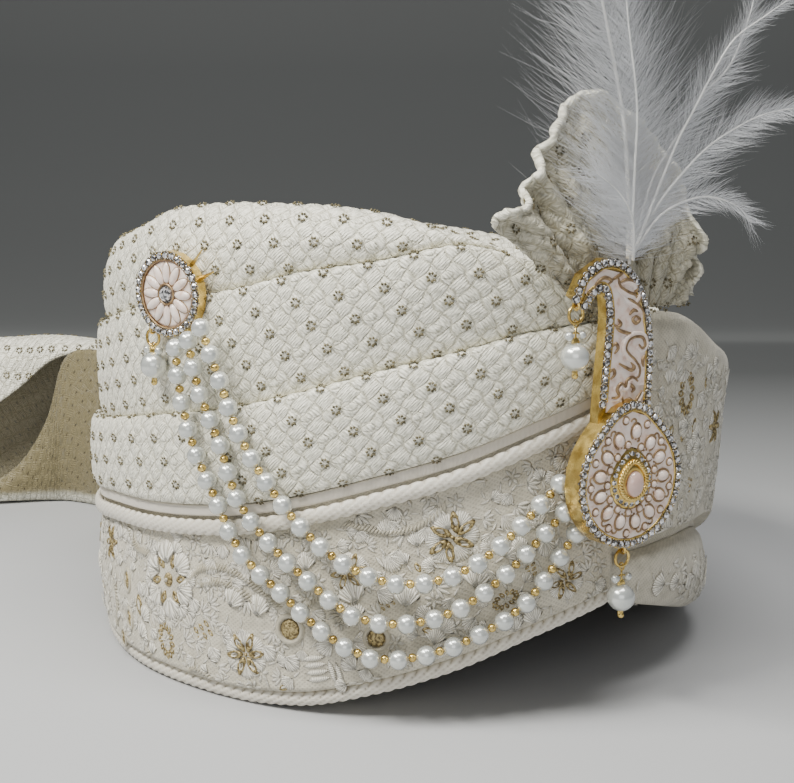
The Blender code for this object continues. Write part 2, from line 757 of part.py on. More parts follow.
# The round brooch

def flower_outline(size, depth, petal_depth):
    """A round flower with one lobe for each petal."""
    points = []
    for step in range(FLOWER_PETALS * 2):
        turn = math.pi * step / FLOWER_PETALS
        reach = size / 2 * (1 - (petal_depth if step % 2 else 0.0))
        points.append(Vector((reach * math.sin(turn), depth, reach * math.cos(turn))))
    return points


def circle_outline(size, depth, steps=20):
    """A round outline."""
    points = []
    for step in range(steps):
        turn = 2 * math.pi * step / steps
        points.append(Vector((size / 2 * math.sin(turn), depth, size / 2 * math.cos(turn))))
    return points


def make_prong(name, turn, gold):
    """A pointed prong that reaches out past the brooch's edge."""
    out = Vector((math.sin(turn), 0.0, math.cos(turn)))
    side = Vector((out.z, 0.0, -out.x))
    start = out * (BROOCH_SIZE / 2 - STONE_RIM / 2)
    sections = []
    for reach, half in ((0.0, RING_WIRE * 0.9), (PRONG_LENGTH, RING_WIRE * 0.25)):
        middle = start + out * reach - Vector((0.0, RING_WIRE, 0.0))
        back = Vector((0.0, half, 0.0))
        sections.append([middle + side * half, middle + back, middle - side * half, middle - back])
    return loft(name, sections, gold)


def make_brooch():
    """The brooch's metal with its pin and prongs, its enamel flower and its drop."""
    gold = (GOLD, 0.3, 1.0)
    place = on_turban(BROOCH_ANGLE, MIDDLE_SETBACK - BROOCH_STANDOFF, BROOCH_HEIGHT_SHARE * TURBAN_HEIGHT)
    front = -BROOCH_DEPTH
    floor = front + ENAMEL_RECESS
    inner = BROOCH_SIZE - 2 * STONE_RIM
    brooch = loft("brooch", [
        circle_outline(BROOCH_SIZE, 0.0), circle_outline(BROOCH_SIZE, front),
        circle_outline(inner, front), circle_outline(inner, floor),
    ], gold)
    eye = Vector((-BROOCH_SIZE * 0.30, front / 2, -BROOCH_SIZE * 0.40 - EYE_SIZE * 0.30))
    extras = [
        ring_solid("eye", eye, EYE_SIZE, RING_WIRE, True, gold),
        make_prong("prong_a", math.radians(42), gold),
        make_prong("prong_b", math.radians(66), gold),
        box_solid("brooch_pin", Vector((-BROOCH_SIZE * 0.05, front / 2, -BROOCH_SIZE * 0.30)),
                  Vector((BROOCH_SIZE * 0.30, BROOCH_STANDOFF, -BROOCH_SIZE * 0.30 + PIN_WIDTH)), gold),
    ]
    fuse(brooch, extras)
    back = floor - GAP
    petal_front = back - FLOWER_THICKNESS
    size = inner - 4 * GAP
    flower = loft("brooch_flower", [
        flower_outline(size, back, 0.06),
        flower_outline(size, back - FLOWER_THICKNESS / 2, 0.06),
        flower_outline(size * 0.80, petal_front, 0.10),
        flower_outline(size * 0.30, petal_front + FLOWER_THICKNESS * 0.3, 0.0),
        flower_outline(size * 0.24, petal_front - FLOWER_THICKNESS * 0.5, 0.0),
        flower_outline(size * 0.14, petal_front - FLOWER_THICKNESS * 0.9, 0.0),
    ], (ENAMEL_PINK, 0.35, 0.0))
    drop = make_drop("brooch_drop", eye, RING_WIRE * 2)
    for piece in (brooch, flower, drop):
        piece.location = place
        piece.rotation_euler.z = -math.radians(BROOCH_FACING)


# The fan, the plume and the tail

def make_sheet(name, rows, thickness, finish):
    """A sheet of cloth through rows of points, with its own thickness."""
    builder = bmesh.new()
    grid = [[builder.verts.new(point) for point in row] for row in rows]
    for row, following in zip(grid, grid[1:]):
        for index in range(len(row) - 1):
            builder.faces.new((row[index], row[index + 1], following[index + 1], following[index]))
    piece = add_object(name, builder, finish)
    wall = piece.modifiers.new("cloth", "SOLIDIFY")
    wall.thickness = thickness
    wall.offset = 0.0
    wall.use_even_offset = True
    return piece


def make_fan(root_depth):
    """The pleated fan that stands up behind the kalgi."""
    count = FAN_PLEATS * 2
    first, last = FAN_EDGE[0].bearing, FAN_EDGE[-1].bearing
    edge = [Pleat(-row.bearing, row.reach) for row in FAN_EDGE]
    centre = Vector((FAN_ACROSS, root_depth, FAN_CENTRE_SHARE * TURBAN_HEIGHT))
    clear_height = height_at("rim", turn_angle(step_near(NEAR_TIP)))
    rows = []
    for share in (0.0, 0.2, 0.45, 0.72, 1.0):
        row = []
        for index in range(count + 1):
            bearing = first + (last - first) * index / count
            turn = math.radians(bearing)
            full = FAN_REACH * table_value(edge, "reach", -bearing)
            root = FAN_ROOT_RISE / math.cos(turn)
            reach = root + (full - root) * share
            fold = (0.16 + 0.84 * share ** 2) * FAN_PLEAT_DEPTH / 2 * (1 if index % 2 else -1)
            point = centre + Vector((-reach * math.sin(turn), fold, reach * math.cos(turn)))
            point.y += FAN_LEAN * max(0.0, point.z - clear_height) / FAN_REACH
            row.append(point)
        rows.append(row)
    return make_sheet("cockade_fan", rows, FAN_CLOTH, (CREAM, 0.75, 0.0))


def make_plume(root):
    """Feathers in locks, fused to the quill bundle that holds them."""
    white = (FEATHER_WHITE, 0.8, 0.0)
    half = Vector((QUILL_WIDTH / 2, QUILL_DEPTH / 2, 0.0))
    quill_length = PLUME_LENGTH * 0.19
    plume = box_solid("plume", root - half, root + half + Vector((0.0, 0.0, quill_length)), white)
    start = root + Vector((0.0, 0.0, quill_length * 0.86))
    locks = []
    for number, row in enumerate(LOCKS):
        end = start + PLUME_LENGTH * Vector((row.end_x, row.end_y, row.end_z))
        middle = start + PLUME_LENGTH * Vector((row.mid_x, row.mid_y, row.mid_z))
        sections = []
        for share, fullness in LOCK_SHAPE:
            point = start * (1 - share) ** 2 + middle * 2 * share * (1 - share) + end * share ** 2
            along = ((middle - start) * (1 - share) + (end - middle) * share).normalized()
            across = Vector((0.0, 1.0, 0.0)).cross(along).normalized()
            deep = along.cross(across)
            section = []
            for corner in range(LOCK_SIDES):
                turn = 2 * math.pi * (corner + number / len(LOCKS)) / LOCK_SIDES
                section.append(point + across * PLUME_LENGTH * row.width / 2 * fullness * math.cos(turn)
                               + deep * PLUME_LENGTH * row.depth / 2 * fullness * math.sin(turn))
            sections.append(section)
        locks.append(loft("lock", sections, white))
    return fuse(plume, locks)


def make_tail():
    """The free end of the cloth: a standing roll that opens towards the wearer's right."""
    back = TURBAN_LENGTH / 2 + GAP
    route = [Vector((row.across, back + row.along, 0.0)) for row in TAIL]
    rows = []
    for index, (row, place) in enumerate(zip(TAIL, route)):
        before = route[max(index - 1, 0)]
        after = route[min(index + 1, len(route) - 1)]
        heading = (after - before).normalized()
        open_side = Vector((-heading.y, heading.x, 0.0))
        width = TAIL_WIDTH * row.width
        height = TAIL_HEIGHT * row.height
        front = height * row.front
        lip = height * row.lip
        floor = TAIL_CLOTH / 2 + GAP
        shape = (
            (width * 0.62, max(front, floor * 3)),
            (width * 0.66, max(front * 0.5, floor * 2)),
            (width * 0.50, floor),
            (-width * 0.20, floor),
            (-width * 0.40, height * 0.45),
            (-width * 0.30, height * 0.88),
            (width * 0.02, height - floor),
            (width * 0.34, height - floor - lip * 0.3),
            (width * 0.46, height - floor * 2 - lip),
        )
        rows.append([place + open_side * out + Vector((0.0, 0.0, up)) for out, up in shape])
    return make_sheet("tail", rows, TAIL_CLOTH, (CREAM, 0.75, 0.0))


def stand_on_origin(pieces):
    """Moves the whole object so that the origin is below the middle of its box."""
    bpy.context.view_layer.update()
    graph = bpy.context.evaluated_depsgraph_get()
    corners = []
    for piece in pieces:
        seen = piece.evaluated_get(graph)
        corners += [seen.matrix_world @ vertex.co for vertex in seen.data.vertices]
    low = Vector([min(corner[axis] for corner in corners) for axis in range(3)])
    high = Vector([max(corner[axis] for corner in corners) for axis in range(3)])
    origin = bpy.data.objects.new("turban_origin", None)
    bpy.context.collection.objects.link(origin)
    for piece in pieces:
        piece.parent = origin
    origin.location = Vector((-(low.x + high.x) / 2, -(low.y + high.y) / 2, -low.z))


def build():
    """Builds every piece of the turban."""
    for old in list(bpy.data.objects):
        bpy.data.objects.remove(old)
    make_crown_cloth()
    make_wraps()
    make_border_band()
    make_front_roll()
    make_border_trims()
    make_pearl_strings()
    kalgi_depth = -(TURBAN_LENGTH / 2 + KALGI_STANDOFF)
    make_kalgi(Vector((KALGI_ACROSS, kalgi_depth, KALGI_HEIGHT_SHARE * TURBAN_HEIGHT)))
    make_brooch()
    fan_depth = -(TURBAN_LENGTH / 2 - MIDDLE_SETBACK + FAN_CLOTH / 2 + FAN_PLEAT_DEPTH * 0.1 + GAP)
    make_fan(fan_depth)
    quill_depth = kalgi_depth + GAP + QUILL_DEPTH / 2
    quill_foot = KALGI_HEIGHT_SHARE * TURBAN_HEIGHT + KALGI_HEIGHT * 0.56
    make_plume(Vector((KALGI_ACROSS + KALGI_HEIGHT * 0.03, quill_depth, quill_foot)))
    make_tail()
    stand_on_origin([piece for piece in bpy.data.objects if piece.type == "MESH"])


build()
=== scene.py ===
"""The looks of a tied turban in cream brocade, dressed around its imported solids.

Pieces are worked out in the turban's own frame, whose origin lies under the middle of the head
hollow. The front faces -Y. Angles are in degrees from the front towards the wearer's right (-X),
then round the back. Lengths are in metres.
"""
import math
from collections import namedtuple

import bmesh
import bpy
import numpy as np
from mathutils import Matrix, Vector


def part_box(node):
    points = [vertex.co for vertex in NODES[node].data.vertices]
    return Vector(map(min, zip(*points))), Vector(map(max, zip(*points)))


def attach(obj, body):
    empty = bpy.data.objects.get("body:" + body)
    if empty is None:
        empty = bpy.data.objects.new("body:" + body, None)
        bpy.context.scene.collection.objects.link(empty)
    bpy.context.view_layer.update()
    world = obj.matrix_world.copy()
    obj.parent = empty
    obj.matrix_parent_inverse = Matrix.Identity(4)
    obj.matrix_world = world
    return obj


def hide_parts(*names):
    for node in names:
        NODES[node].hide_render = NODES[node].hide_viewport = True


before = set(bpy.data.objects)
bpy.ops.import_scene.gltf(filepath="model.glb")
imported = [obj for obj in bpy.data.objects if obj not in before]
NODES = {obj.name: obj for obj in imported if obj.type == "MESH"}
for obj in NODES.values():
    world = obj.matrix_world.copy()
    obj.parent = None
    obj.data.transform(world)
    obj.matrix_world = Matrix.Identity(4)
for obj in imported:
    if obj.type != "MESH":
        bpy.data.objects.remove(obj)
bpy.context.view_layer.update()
CROWN_LOW, CROWN_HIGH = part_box("crown_cloth")
AXIS = np.array([(CROWN_LOW.x + CROWN_HIGH.x) / 2, (CROWN_LOW.y + CROWN_HIGH.y) / 2, 0.0])

TURBAN_WIDTH = 0.236
TURBAN_LENGTH = 0.260
TURBAN_HEIGHT = 0.166
CROWN_HALF_WIDTH = 0.0823
CROWN_HALF_LENGTH = 0.1013
FRONT_JOINT = 3.0
FRONT_JOINT_GAP = 0.4
FULL_TURN = 360.0
BORDER_SETBACK = 0.0040
MIDDLE_SETBACK = 0.0035
TOP_SETBACK = 0.0065
ROLL_SETBACK = 0.0075
HEM_STEP = 0.0062
TAPE_HEIGHT = 0.0038
TAPE_THICKNESS = 0.0012
BRAID_HEIGHT = 0.0056
BRAID_THICKNESS = 0.0032
HEM_BRAID_SIZE = 0.0052
CLOTH_GRID = 0.0013

Station = namedtuple("Station", "angle foot hem border low high rim crown")
STATIONS = tuple(Station(*row) for row in (
    (3, 0.214, 0.214, 0.655, 0.782, 0.845, 0.850, 0.730),
    (18, 0.158, 0.158, 0.592, 0.765, 0.900, 0.907, 0.772),
    (29, 0.105, 0.105, 0.540, 0.732, 0.930, 0.948, 0.802),
    (42, 0.051, 0.051, 0.490, 0.690, 0.900, 0.986, 0.831),
    (55, 0.010, 0.010, 0.440, 0.641, 0.873, 1.000, 0.843),
    (66, 0.000, 0.000, 0.408, 0.602, 0.836, 1.000, 0.840),
    (84, 0.000, 0.000, 0.377, 0.557, 0.792, 0.983, 0.819),
    (98, 0.000, 0.000, 0.361, 0.524, 0.750, 0.938, 0.783),
    (112, 0.000, 0.000, 0.337, 0.494, 0.711, 0.907, 0.765),
    (130, 0.000, 0.000, 0.319, 0.479, 0.687, 0.895, 0.759),
    (180, 0.000, 0.000, 0.313, 0.470, 0.675, 0.904, 0.765),
    (210, 0.000, 0.000, 0.325, 0.482, 0.681, 0.886, 0.753),
    (240, 0.000, 0.000, 0.373, 0.518, 0.693, 0.849, 0.729),
    (268, 0.000, 0.018, 0.470, 0.572, 0.672, 0.765, 0.665),
    (285, 0.000, 0.084, 0.548, 0.597, 0.647, 0.700, 0.625),
    (300, 0.018, 0.163, 0.610, 0.623, 0.636, 0.649, 0.600),
    (315, 0.054, 0.241, 0.657, 0.670, 0.683, 0.696, 0.610),
    (330, 0.102, 0.283, 0.702, 0.710, 0.718, 0.726, 0.630),
    (345, 0.151, 0.292, 0.777, 0.785, 0.793, 0.801, 0.681),
    (363, 0.208, 0.289, 0.798, 0.806, 0.814, 0.822, 0.730),
))
Flare = namedtuple("Flare", "angle low middle high lip")
FLARES = tuple(Flare(*row) for row in (
    (3, -0.75, -0.50, 0.00, 0.0),
    (84, -0.90, -0.60, 0.00, 0.0),
    (115, -0.20, -0.40, 0.00, 0.0),
    (290, 0.00, -0.20, 0.00, 0.0),
    (330, 0.60, 0.10, -0.70, 1.4),
    (363, 0.60, 0.00, -0.50, 1.4),
))
FOLD_ROUND = 0.0035


# Shapes round the turban

def column_curve(rows, column, samples=1601):
    """A table's column as a dense smooth curve that doesn't overshoot its rows."""
    places = np.array([row[0] for row in rows], float)
    values = np.array([getattr(row, column) for row in rows], float)
    slopes = np.diff(values) / np.diff(places)
    before, after = slopes[:-1], slopes[1:]
    total = np.where(np.abs(before + after) > 1e-12, before + after, 1.0)
    inner = np.where(before * after > 0, 2 * before * after / total, 0.0)
    tangents = np.concatenate([slopes[:1], inner, slopes[-1:]])
    at = np.linspace(places[0], places[-1], samples)
    index = np.clip(np.searchsorted(places, at, side="right") - 1, 0, len(places) - 2)
    span = places[index + 1] - places[index]
    share = (at - places[index]) / span
    curve = ((2 * share ** 3 - 3 * share ** 2 + 1) * values[index]
             + (share ** 3 - 2 * share ** 2 + share) * span * tangents[index]
             + (3 * share ** 2 - 2 * share ** 3) * values[index + 1]
             + (share ** 3 - share ** 2) * span * tangents[index + 1])
    return at, curve


CURVES = {}


def table_value(rows, column, at):
    """The value of one column of a table at places along its first column."""
    key = (id(rows), column)
    if key not in CURVES:
        CURVES[key] = column_curve(rows, column)
    return np.interp(at, *CURVES[key])


def height_at(column, angle):
    """A height of the turban's table, in metres."""
    return TURBAN_HEIGHT * table_value(STATIONS, column, angle)


def border_setback(angle, part):
    """How far the border's face stands back at its foot, middle or upper edge."""
    return BORDER_SETBACK * (1 + table_value(FLARES, part, angle))


def on_oval(angle, half_width, half_length, height):
    """Points of an oval round the turban's axis."""
    turn = np.radians(angle)
    return np.stack(np.broadcast_arrays(-half_width * np.sin(turn), -half_length * np.cos(turn), height), -1)


def on_turban(angle, setback, height):
    """Points that lie a given way inside the turban's widest line."""
    return on_oval(angle, TURBAN_WIDTH / 2 - setback, TURBAN_LENGTH / 2 - setback, height)


def crown_setback(angle):
    """How far the wraps' inner face stands back."""
    turn = np.radians(angle)
    across = (TURBAN_WIDTH / 2 - CROWN_HALF_WIDTH) * np.sin(turn) ** 2
    return across + (TURBAN_LENGTH / 2 - CROWN_HALF_LENGTH) * np.cos(turn) ** 2


ROUND_ANGLES = np.linspace(0.0, 2 * FULL_TURN, 5761)
ROUND_STEPS = np.linalg.norm(np.diff(on_turban(ROUND_ANGLES, 0.003, 0.0), axis=0), axis=1)
ROUND_LENGTHS = np.concatenate([[0.0], np.cumsum(ROUND_STEPS)])


def length_round(angle):
    """The way round the turban from the front to an angle."""
    return np.interp(angle, ROUND_ANGLES, ROUND_LENGTHS)


def angle_round(length):
    """The angle at a way round the turban."""
    return np.interp(length, ROUND_LENGTHS, ROUND_ANGLES)


def smooth_step(low, high, at):
    """0 below low, 1 above high, and a smooth rise between them."""
    share = np.clip((at - low) / (high - low), 0.0, 1.0)
    return share * share * (3 - 2 * share)


def spline_points(points, per_span):
    """A smooth curve through points."""
    points = np.asarray(points, float)
    ends = np.concatenate([[points[0] * 2 - points[1]], points, [points[-1] * 2 - points[-2]]])
    share = np.arange(per_span)[:, None] / per_span
    curve = []
    for before, start, end, after in zip(ends, ends[1:], ends[2:], ends[3:]):
        curve.append(0.5 * (2 * start + (end - before) * share
                            + (2 * before - 5 * start + 4 * end - after) * share ** 2
                            + (3 * start - before - 3 * end + after) * share ** 3))
    return np.concatenate(curve + [points[-1:]])


def lengths_along(curve):
    """The length of a curve up to each of its points."""
    return np.concatenate([[0.0], np.cumsum(np.linalg.norm(np.diff(curve, axis=0), axis=1))])


def spaced(curve, count):
    """Points at equal distances along a curve."""
    lengths = lengths_along(curve)
    wanted = np.linspace(0.0, lengths[-1], count)
    return np.stack([np.interp(wanted, lengths, curve[:, axis]) for axis in range(curve.shape[1])], -1)


def unit(vectors):
    """Vectors at length one."""
    return vectors / np.maximum(np.linalg.norm(vectors, axis=-1, keepdims=True), 1e-12)


def ripple(*places, seed=0, octaves=4):
    """Gentle seeded unevenness between about -1 and 1, from a few crossing waves."""
    draw = np.random.default_rng(seed)
    total = 0.0
    for octave in range(octaves):
        for wave_number in range(3):
            phase = draw.uniform(0, 2 * math.pi)
            wave = sum(place * draw.normal() * 1.7 ** octave for place in places)
            total = total + np.sin(wave + phase) / 1.5 ** octave
    return total / 5.0


# Meshes

def make_piece(name, points, faces, material, uv=None, values=None, smooth=True, move=True):
    """A mesh piece in the row frame, with an optional corner UV map and vertex values."""
    mesh = bpy.data.meshes.new(name)
    points = np.asarray(points, float).reshape(-1, 3)
    placed = points + AXIS if move else points
    mesh.from_pydata(placed.tolist(), [], faces)
    if uv is not None:
        layer = mesh.uv_layers.new(name="cloth")
        layer.data.foreach_set("uv", np.asarray(uv, float).ravel())
    for label, data in (values or {}).items():
        layer = mesh.attributes.new(label, "FLOAT", "POINT")
        layer.data.foreach_set("value", np.asarray(data, float).ravel())
    mesh.polygons.foreach_set("use_smooth", np.full(len(mesh.polygons), smooth))
    mesh.materials.append(material)
    mesh.update()
    piece = bpy.data.objects.new(name, mesh)
    bpy.context.scene.collection.objects.link(piece)
    return piece


def grid_faces(columns, rows):
    """The quads of closed sections whose points run round each section in turn."""
    column, row = np.meshgrid(np.arange(columns - 1), np.arange(rows), indexing="ij")
    above = (row + 1) % rows
    quads = np.stack([column * rows + row, column * rows + above,
                      (column + 1) * rows + above, (column + 1) * rows + row], -1)
    return quads.reshape(-1, 4)


def grid_uv(uv, columns, rows):
    """The corner UVs that go with grid_faces."""
    column, row = np.meshgrid(np.arange(columns - 1), np.arange(rows), indexing="ij")
    corners = [uv[column, row], uv[column, row + 1], uv[column + 1, row + 1], uv[column + 1, row]]
    return np.stack(corners, -2).reshape(-1, 2)


def tube_piece(name, points, uv, material, values=None, sheet=False):
    """A closed tube from a grid of sections; its ends are fans, or strips where it is a sheet."""
    columns, rows = points.shape[:2]
    faces = grid_faces(columns, rows)
    corners = grid_uv(uv, columns, rows)
    flat = points.reshape(-1, 3)
    row = np.arange(rows)
    above = (row + 1) % rows
    last = (columns - 1) * rows
    if sheet:
        step = np.arange(rows // 2 - 1)
        ends = np.stack([step + 1, step, rows - 1 - step, rows - 2 - step], 1)
        caps = ends.tolist() + (last + ends[:, ::-1]).tolist()
        cap_uv = np.concatenate([uv[0, ends].reshape(-1, 2), uv[-1, ends[:, ::-1]].reshape(-1, 2)])
        centres = flat[:0]
    else:
        centres = np.stack([points[0].mean(0), points[-1].mean(0)])
        caps = [[len(flat), b, a] for a, b in zip(row.tolist(), above.tolist())]
        caps += [[len(flat) + 1, last + a, last + b] for a, b in zip(row.tolist(), above.tolist())]
        cap_uv = np.concatenate([np.repeat(uv[0, :1], 3 * rows, 0), np.repeat(uv[-1, :1], 3 * rows, 0)])
    ends = np.zeros(len(centres))
    data = {key: np.concatenate([np.ravel(value), ends]) for key, value in (values or {}).items()}
    return make_piece(name, np.concatenate([flat, centres]), faces.tolist() + caps, material,
                      np.concatenate([corners, cap_uv]), data)


def tube_uv(along, *ups):
    """Cloth coordinates of a tube: the way along it, and up each wall of its section in turn."""
    around = np.concatenate([np.atleast_2d(up) + 0 * along[:, None] for up in ups], 1)
    return np.stack([along[:, None] + 0 * around, around], -1)


def finished(piece, slot, *nodes):
    """A finished piece of the object, tied to the root, with the parts it stands for hidden; its slot is not
    used.
    """
    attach(piece, "root")
    if nodes:
        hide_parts(*nodes)
    return piece


def close_seams(piece, outward=False):
    """Joins points that meet and drops what has no area; may also turn every face outwards."""
    builder = bmesh.new()
    builder.from_mesh(piece.data)
    bmesh.ops.remove_doubles(builder, verts=builder.verts, dist=1e-6)
    bmesh.ops.dissolve_degenerate(builder, edges=builder.edges, dist=1e-7)
    loose = [edge for edge in builder.edges if not edge.link_faces]
    bmesh.ops.delete(builder, geom=loose, context="EDGES")
    if outward:
        bmesh.ops.recalc_face_normals(builder, faces=builder.faces)
    builder.to_mesh(piece.data)
    builder.free()
    return piece


def grid_normals(points):
    """The outward normals of a grid, by its neighbouring points."""
    across = np.gradient(points, axis=0)
    up = np.gradient(points, axis=1)
    return unit(np.cross(up, across))


class Face:
    """A face of cloth whose pattern runs along and up it, for placing work on it."""

    def __init__(self, points, along, up):
        self.points = points
        self.normals = grid_normals(points)
        self.along = along
        self.up = up

    def at(self, along, up):
        """The place and the ways right, up and outward at one spot, or None off the face."""
        column = np.interp(along, self.along, np.arange(len(self.along)), left=-1, right=-1)
        if column < 0:
            return None
        first = min(int(column), len(self.along) - 2)
        share = column - first
        heights = self.up[first] * (1 - share) + self.up[first + 1] * share
        rising = heights if heights[-1] > heights[0] else heights[::-1]
        row = np.interp(up, rising, np.arange(len(rising)), left=-1, right=-1)
        if row < 0:
            return None
        if heights[-1] < heights[0]:
            row = len(rising) - 1 - row
        low = min(int(row), len(rising) - 2)
        lift = row - low
        corner = self.points[first:first + 2, low:low + 2]
        normal = unit(self.normals[first:first + 2, low:low + 2].mean((0, 1)))
        place = ((corner[0, 0] * (1 - lift) + corner[0, 1] * lift) * (1 - share)
                 + (corner[1, 0] * (1 - lift) + corner[1, 1] * lift) * share)
        right = unit(corner[0, 0] - corner[1, 0])
        upward = np.cross(normal, right)
        return place, unit(np.cross(upward, normal)), unit(upward), normal


# Finishes

BAND_SCALE = 0.314


class Finish:
    """A material being put together from nodes."""

    def __init__(self, name, colour, roughness, metallic=0.0, **sockets):
        self.material = bpy.data.materials.new(name)
        self.material.use_nodes = True
        self.tree = self.material.node_tree
        self.shader = self.tree.nodes["Principled BSDF"]
        self.set("Base Color", (*colour, 1.0))
        self.set("Roughness", roughness)
        self.set("Metallic", metallic)
        for label, value in sockets.items():
            self.set(label.replace("_", " "), value)

    def set(self, socket, value):
        """Sets or links one of the shader's sockets."""
        self.join(value, self.shader.inputs[socket])

    def join(self, value, socket):
        """Links an output to a socket, or writes a value there."""
        if isinstance(value, bpy.types.NodeSocket):
            self.tree.links.new(value, socket)
        else:
            socket.default_value = value

    def node(self, kind, inputs=None, **settings):
        """A node with its settings and its inputs by name or number."""
        made = self.tree.nodes.new("ShaderNode" + kind)
        for label, value in settings.items():
            setattr(made, label, value)
        for key, value in (inputs or {}).items():
            self.join(value, made.inputs[key])
        return made

    def cloth_place(self, turn=0.0):
        """The piece's own cloth coordinates, in metres, turned."""
        uv = self.node("UVMap", uv_map="cloth")
        return self.node("Mapping", {"Vector": uv.outputs[0], "Rotation": (0, 0, turn)}).outputs[0]

    def object_place(self):
        """The piece's own coordinates in space."""
        return self.node("Mapping", {"Vector": self.node("TexCoord").outputs["Object"]}).outputs[0]

    def value(self, label):
        """A vertex value of the mesh."""
        return self.node("Attribute", attribute_name=label).outputs["Fac"]

    def maths(self, operation, first, second=0.0, third=0.0):
        """A sum on one, two or three numbers."""
        return self.node("Math", {0: first, 1: second, 2: third}, operation=operation).outputs[0]

    def noise(self, place, scale, detail=2.0, roughness=0.5):
        """Noise between 0 and 1."""
        inputs = {"Vector": place, "Scale": scale, "Detail": detail, "Roughness": roughness}
        return self.node("TexNoise", inputs).outputs["Fac"]

    def waves(self, place, pitch, distortion=0.0, detail=0.0):
        """Even bands across the first coordinate, one each pitch, between 0 and 1."""
        inputs = {"Vector": place, "Scale": BAND_SCALE / pitch, "Distortion": distortion, "Detail": detail}
        return self.node("TexWave", inputs, bands_direction="X").outputs["Fac"]

    def ramp(self, share, *stops):
        """A colour that passes through stops of place and colour."""
        made = self.node("ValToRGB", {0: share})
        band = made.color_ramp
        while len(band.elements) < len(stops):
            band.elements.new(0.5)
        for element, (place, colour) in zip(band.elements, stops):
            element.position = place
            element.color = (*colour, 1.0)
        return made.outputs[0]

    def blend(self, share, first, second, kind="MIX"):
        """Mixes two colours."""
        made = self.node("Mix", data_type="RGBA", blend_type=kind)
        for socket, value in zip((made.inputs[0], made.inputs[6], made.inputs[7]), (share, first, second)):
            if isinstance(value, tuple):
                value = (*value, 1.0)
            self.join(value, socket)
        return made.outputs[2]

    def bump(self, *layers):
        """Bump from layers of height, strength and depth in metres, one over the other."""
        normal = None
        for height, strength, depth in layers:
            inputs = {"Height": height, "Strength": strength, "Distance": depth}
            if normal:
                inputs["Normal"] = normal
            normal = self.node("Bump", inputs).outputs[0]
        self.set("Normal", normal)

    def mottle(self, grain, detail, *stops):
        """Colours the piece by noise, and gives the noise back for other sockets."""
        shades = self.noise(self.object_place(), grain, detail)
        self.set("Base Color", self.ramp(shades, *stops))
        return shades


def dimmed(colour, share):
    """A colour made darker or paler."""
    return tuple(part * share for part in colour)


def mottled_finish(name, colour, roughness, metallic, grain, detail, *stops, **sockets):
    """A finish whose shade wanders over the piece."""
    finish = Finish(name, colour, roughness, metallic, **sockets)
    finish.mottle(grain, detail, *stops)
    return finish.material


def crossed_threads(finish, pitch, *turns):
    """Two sets of fine threads that cross, as a height between 0 and 1."""
    first, second = (finish.waves(finish.cloth_place(turn), pitch) for turn in turns)
    return finish.maths("MAXIMUM", first, second)


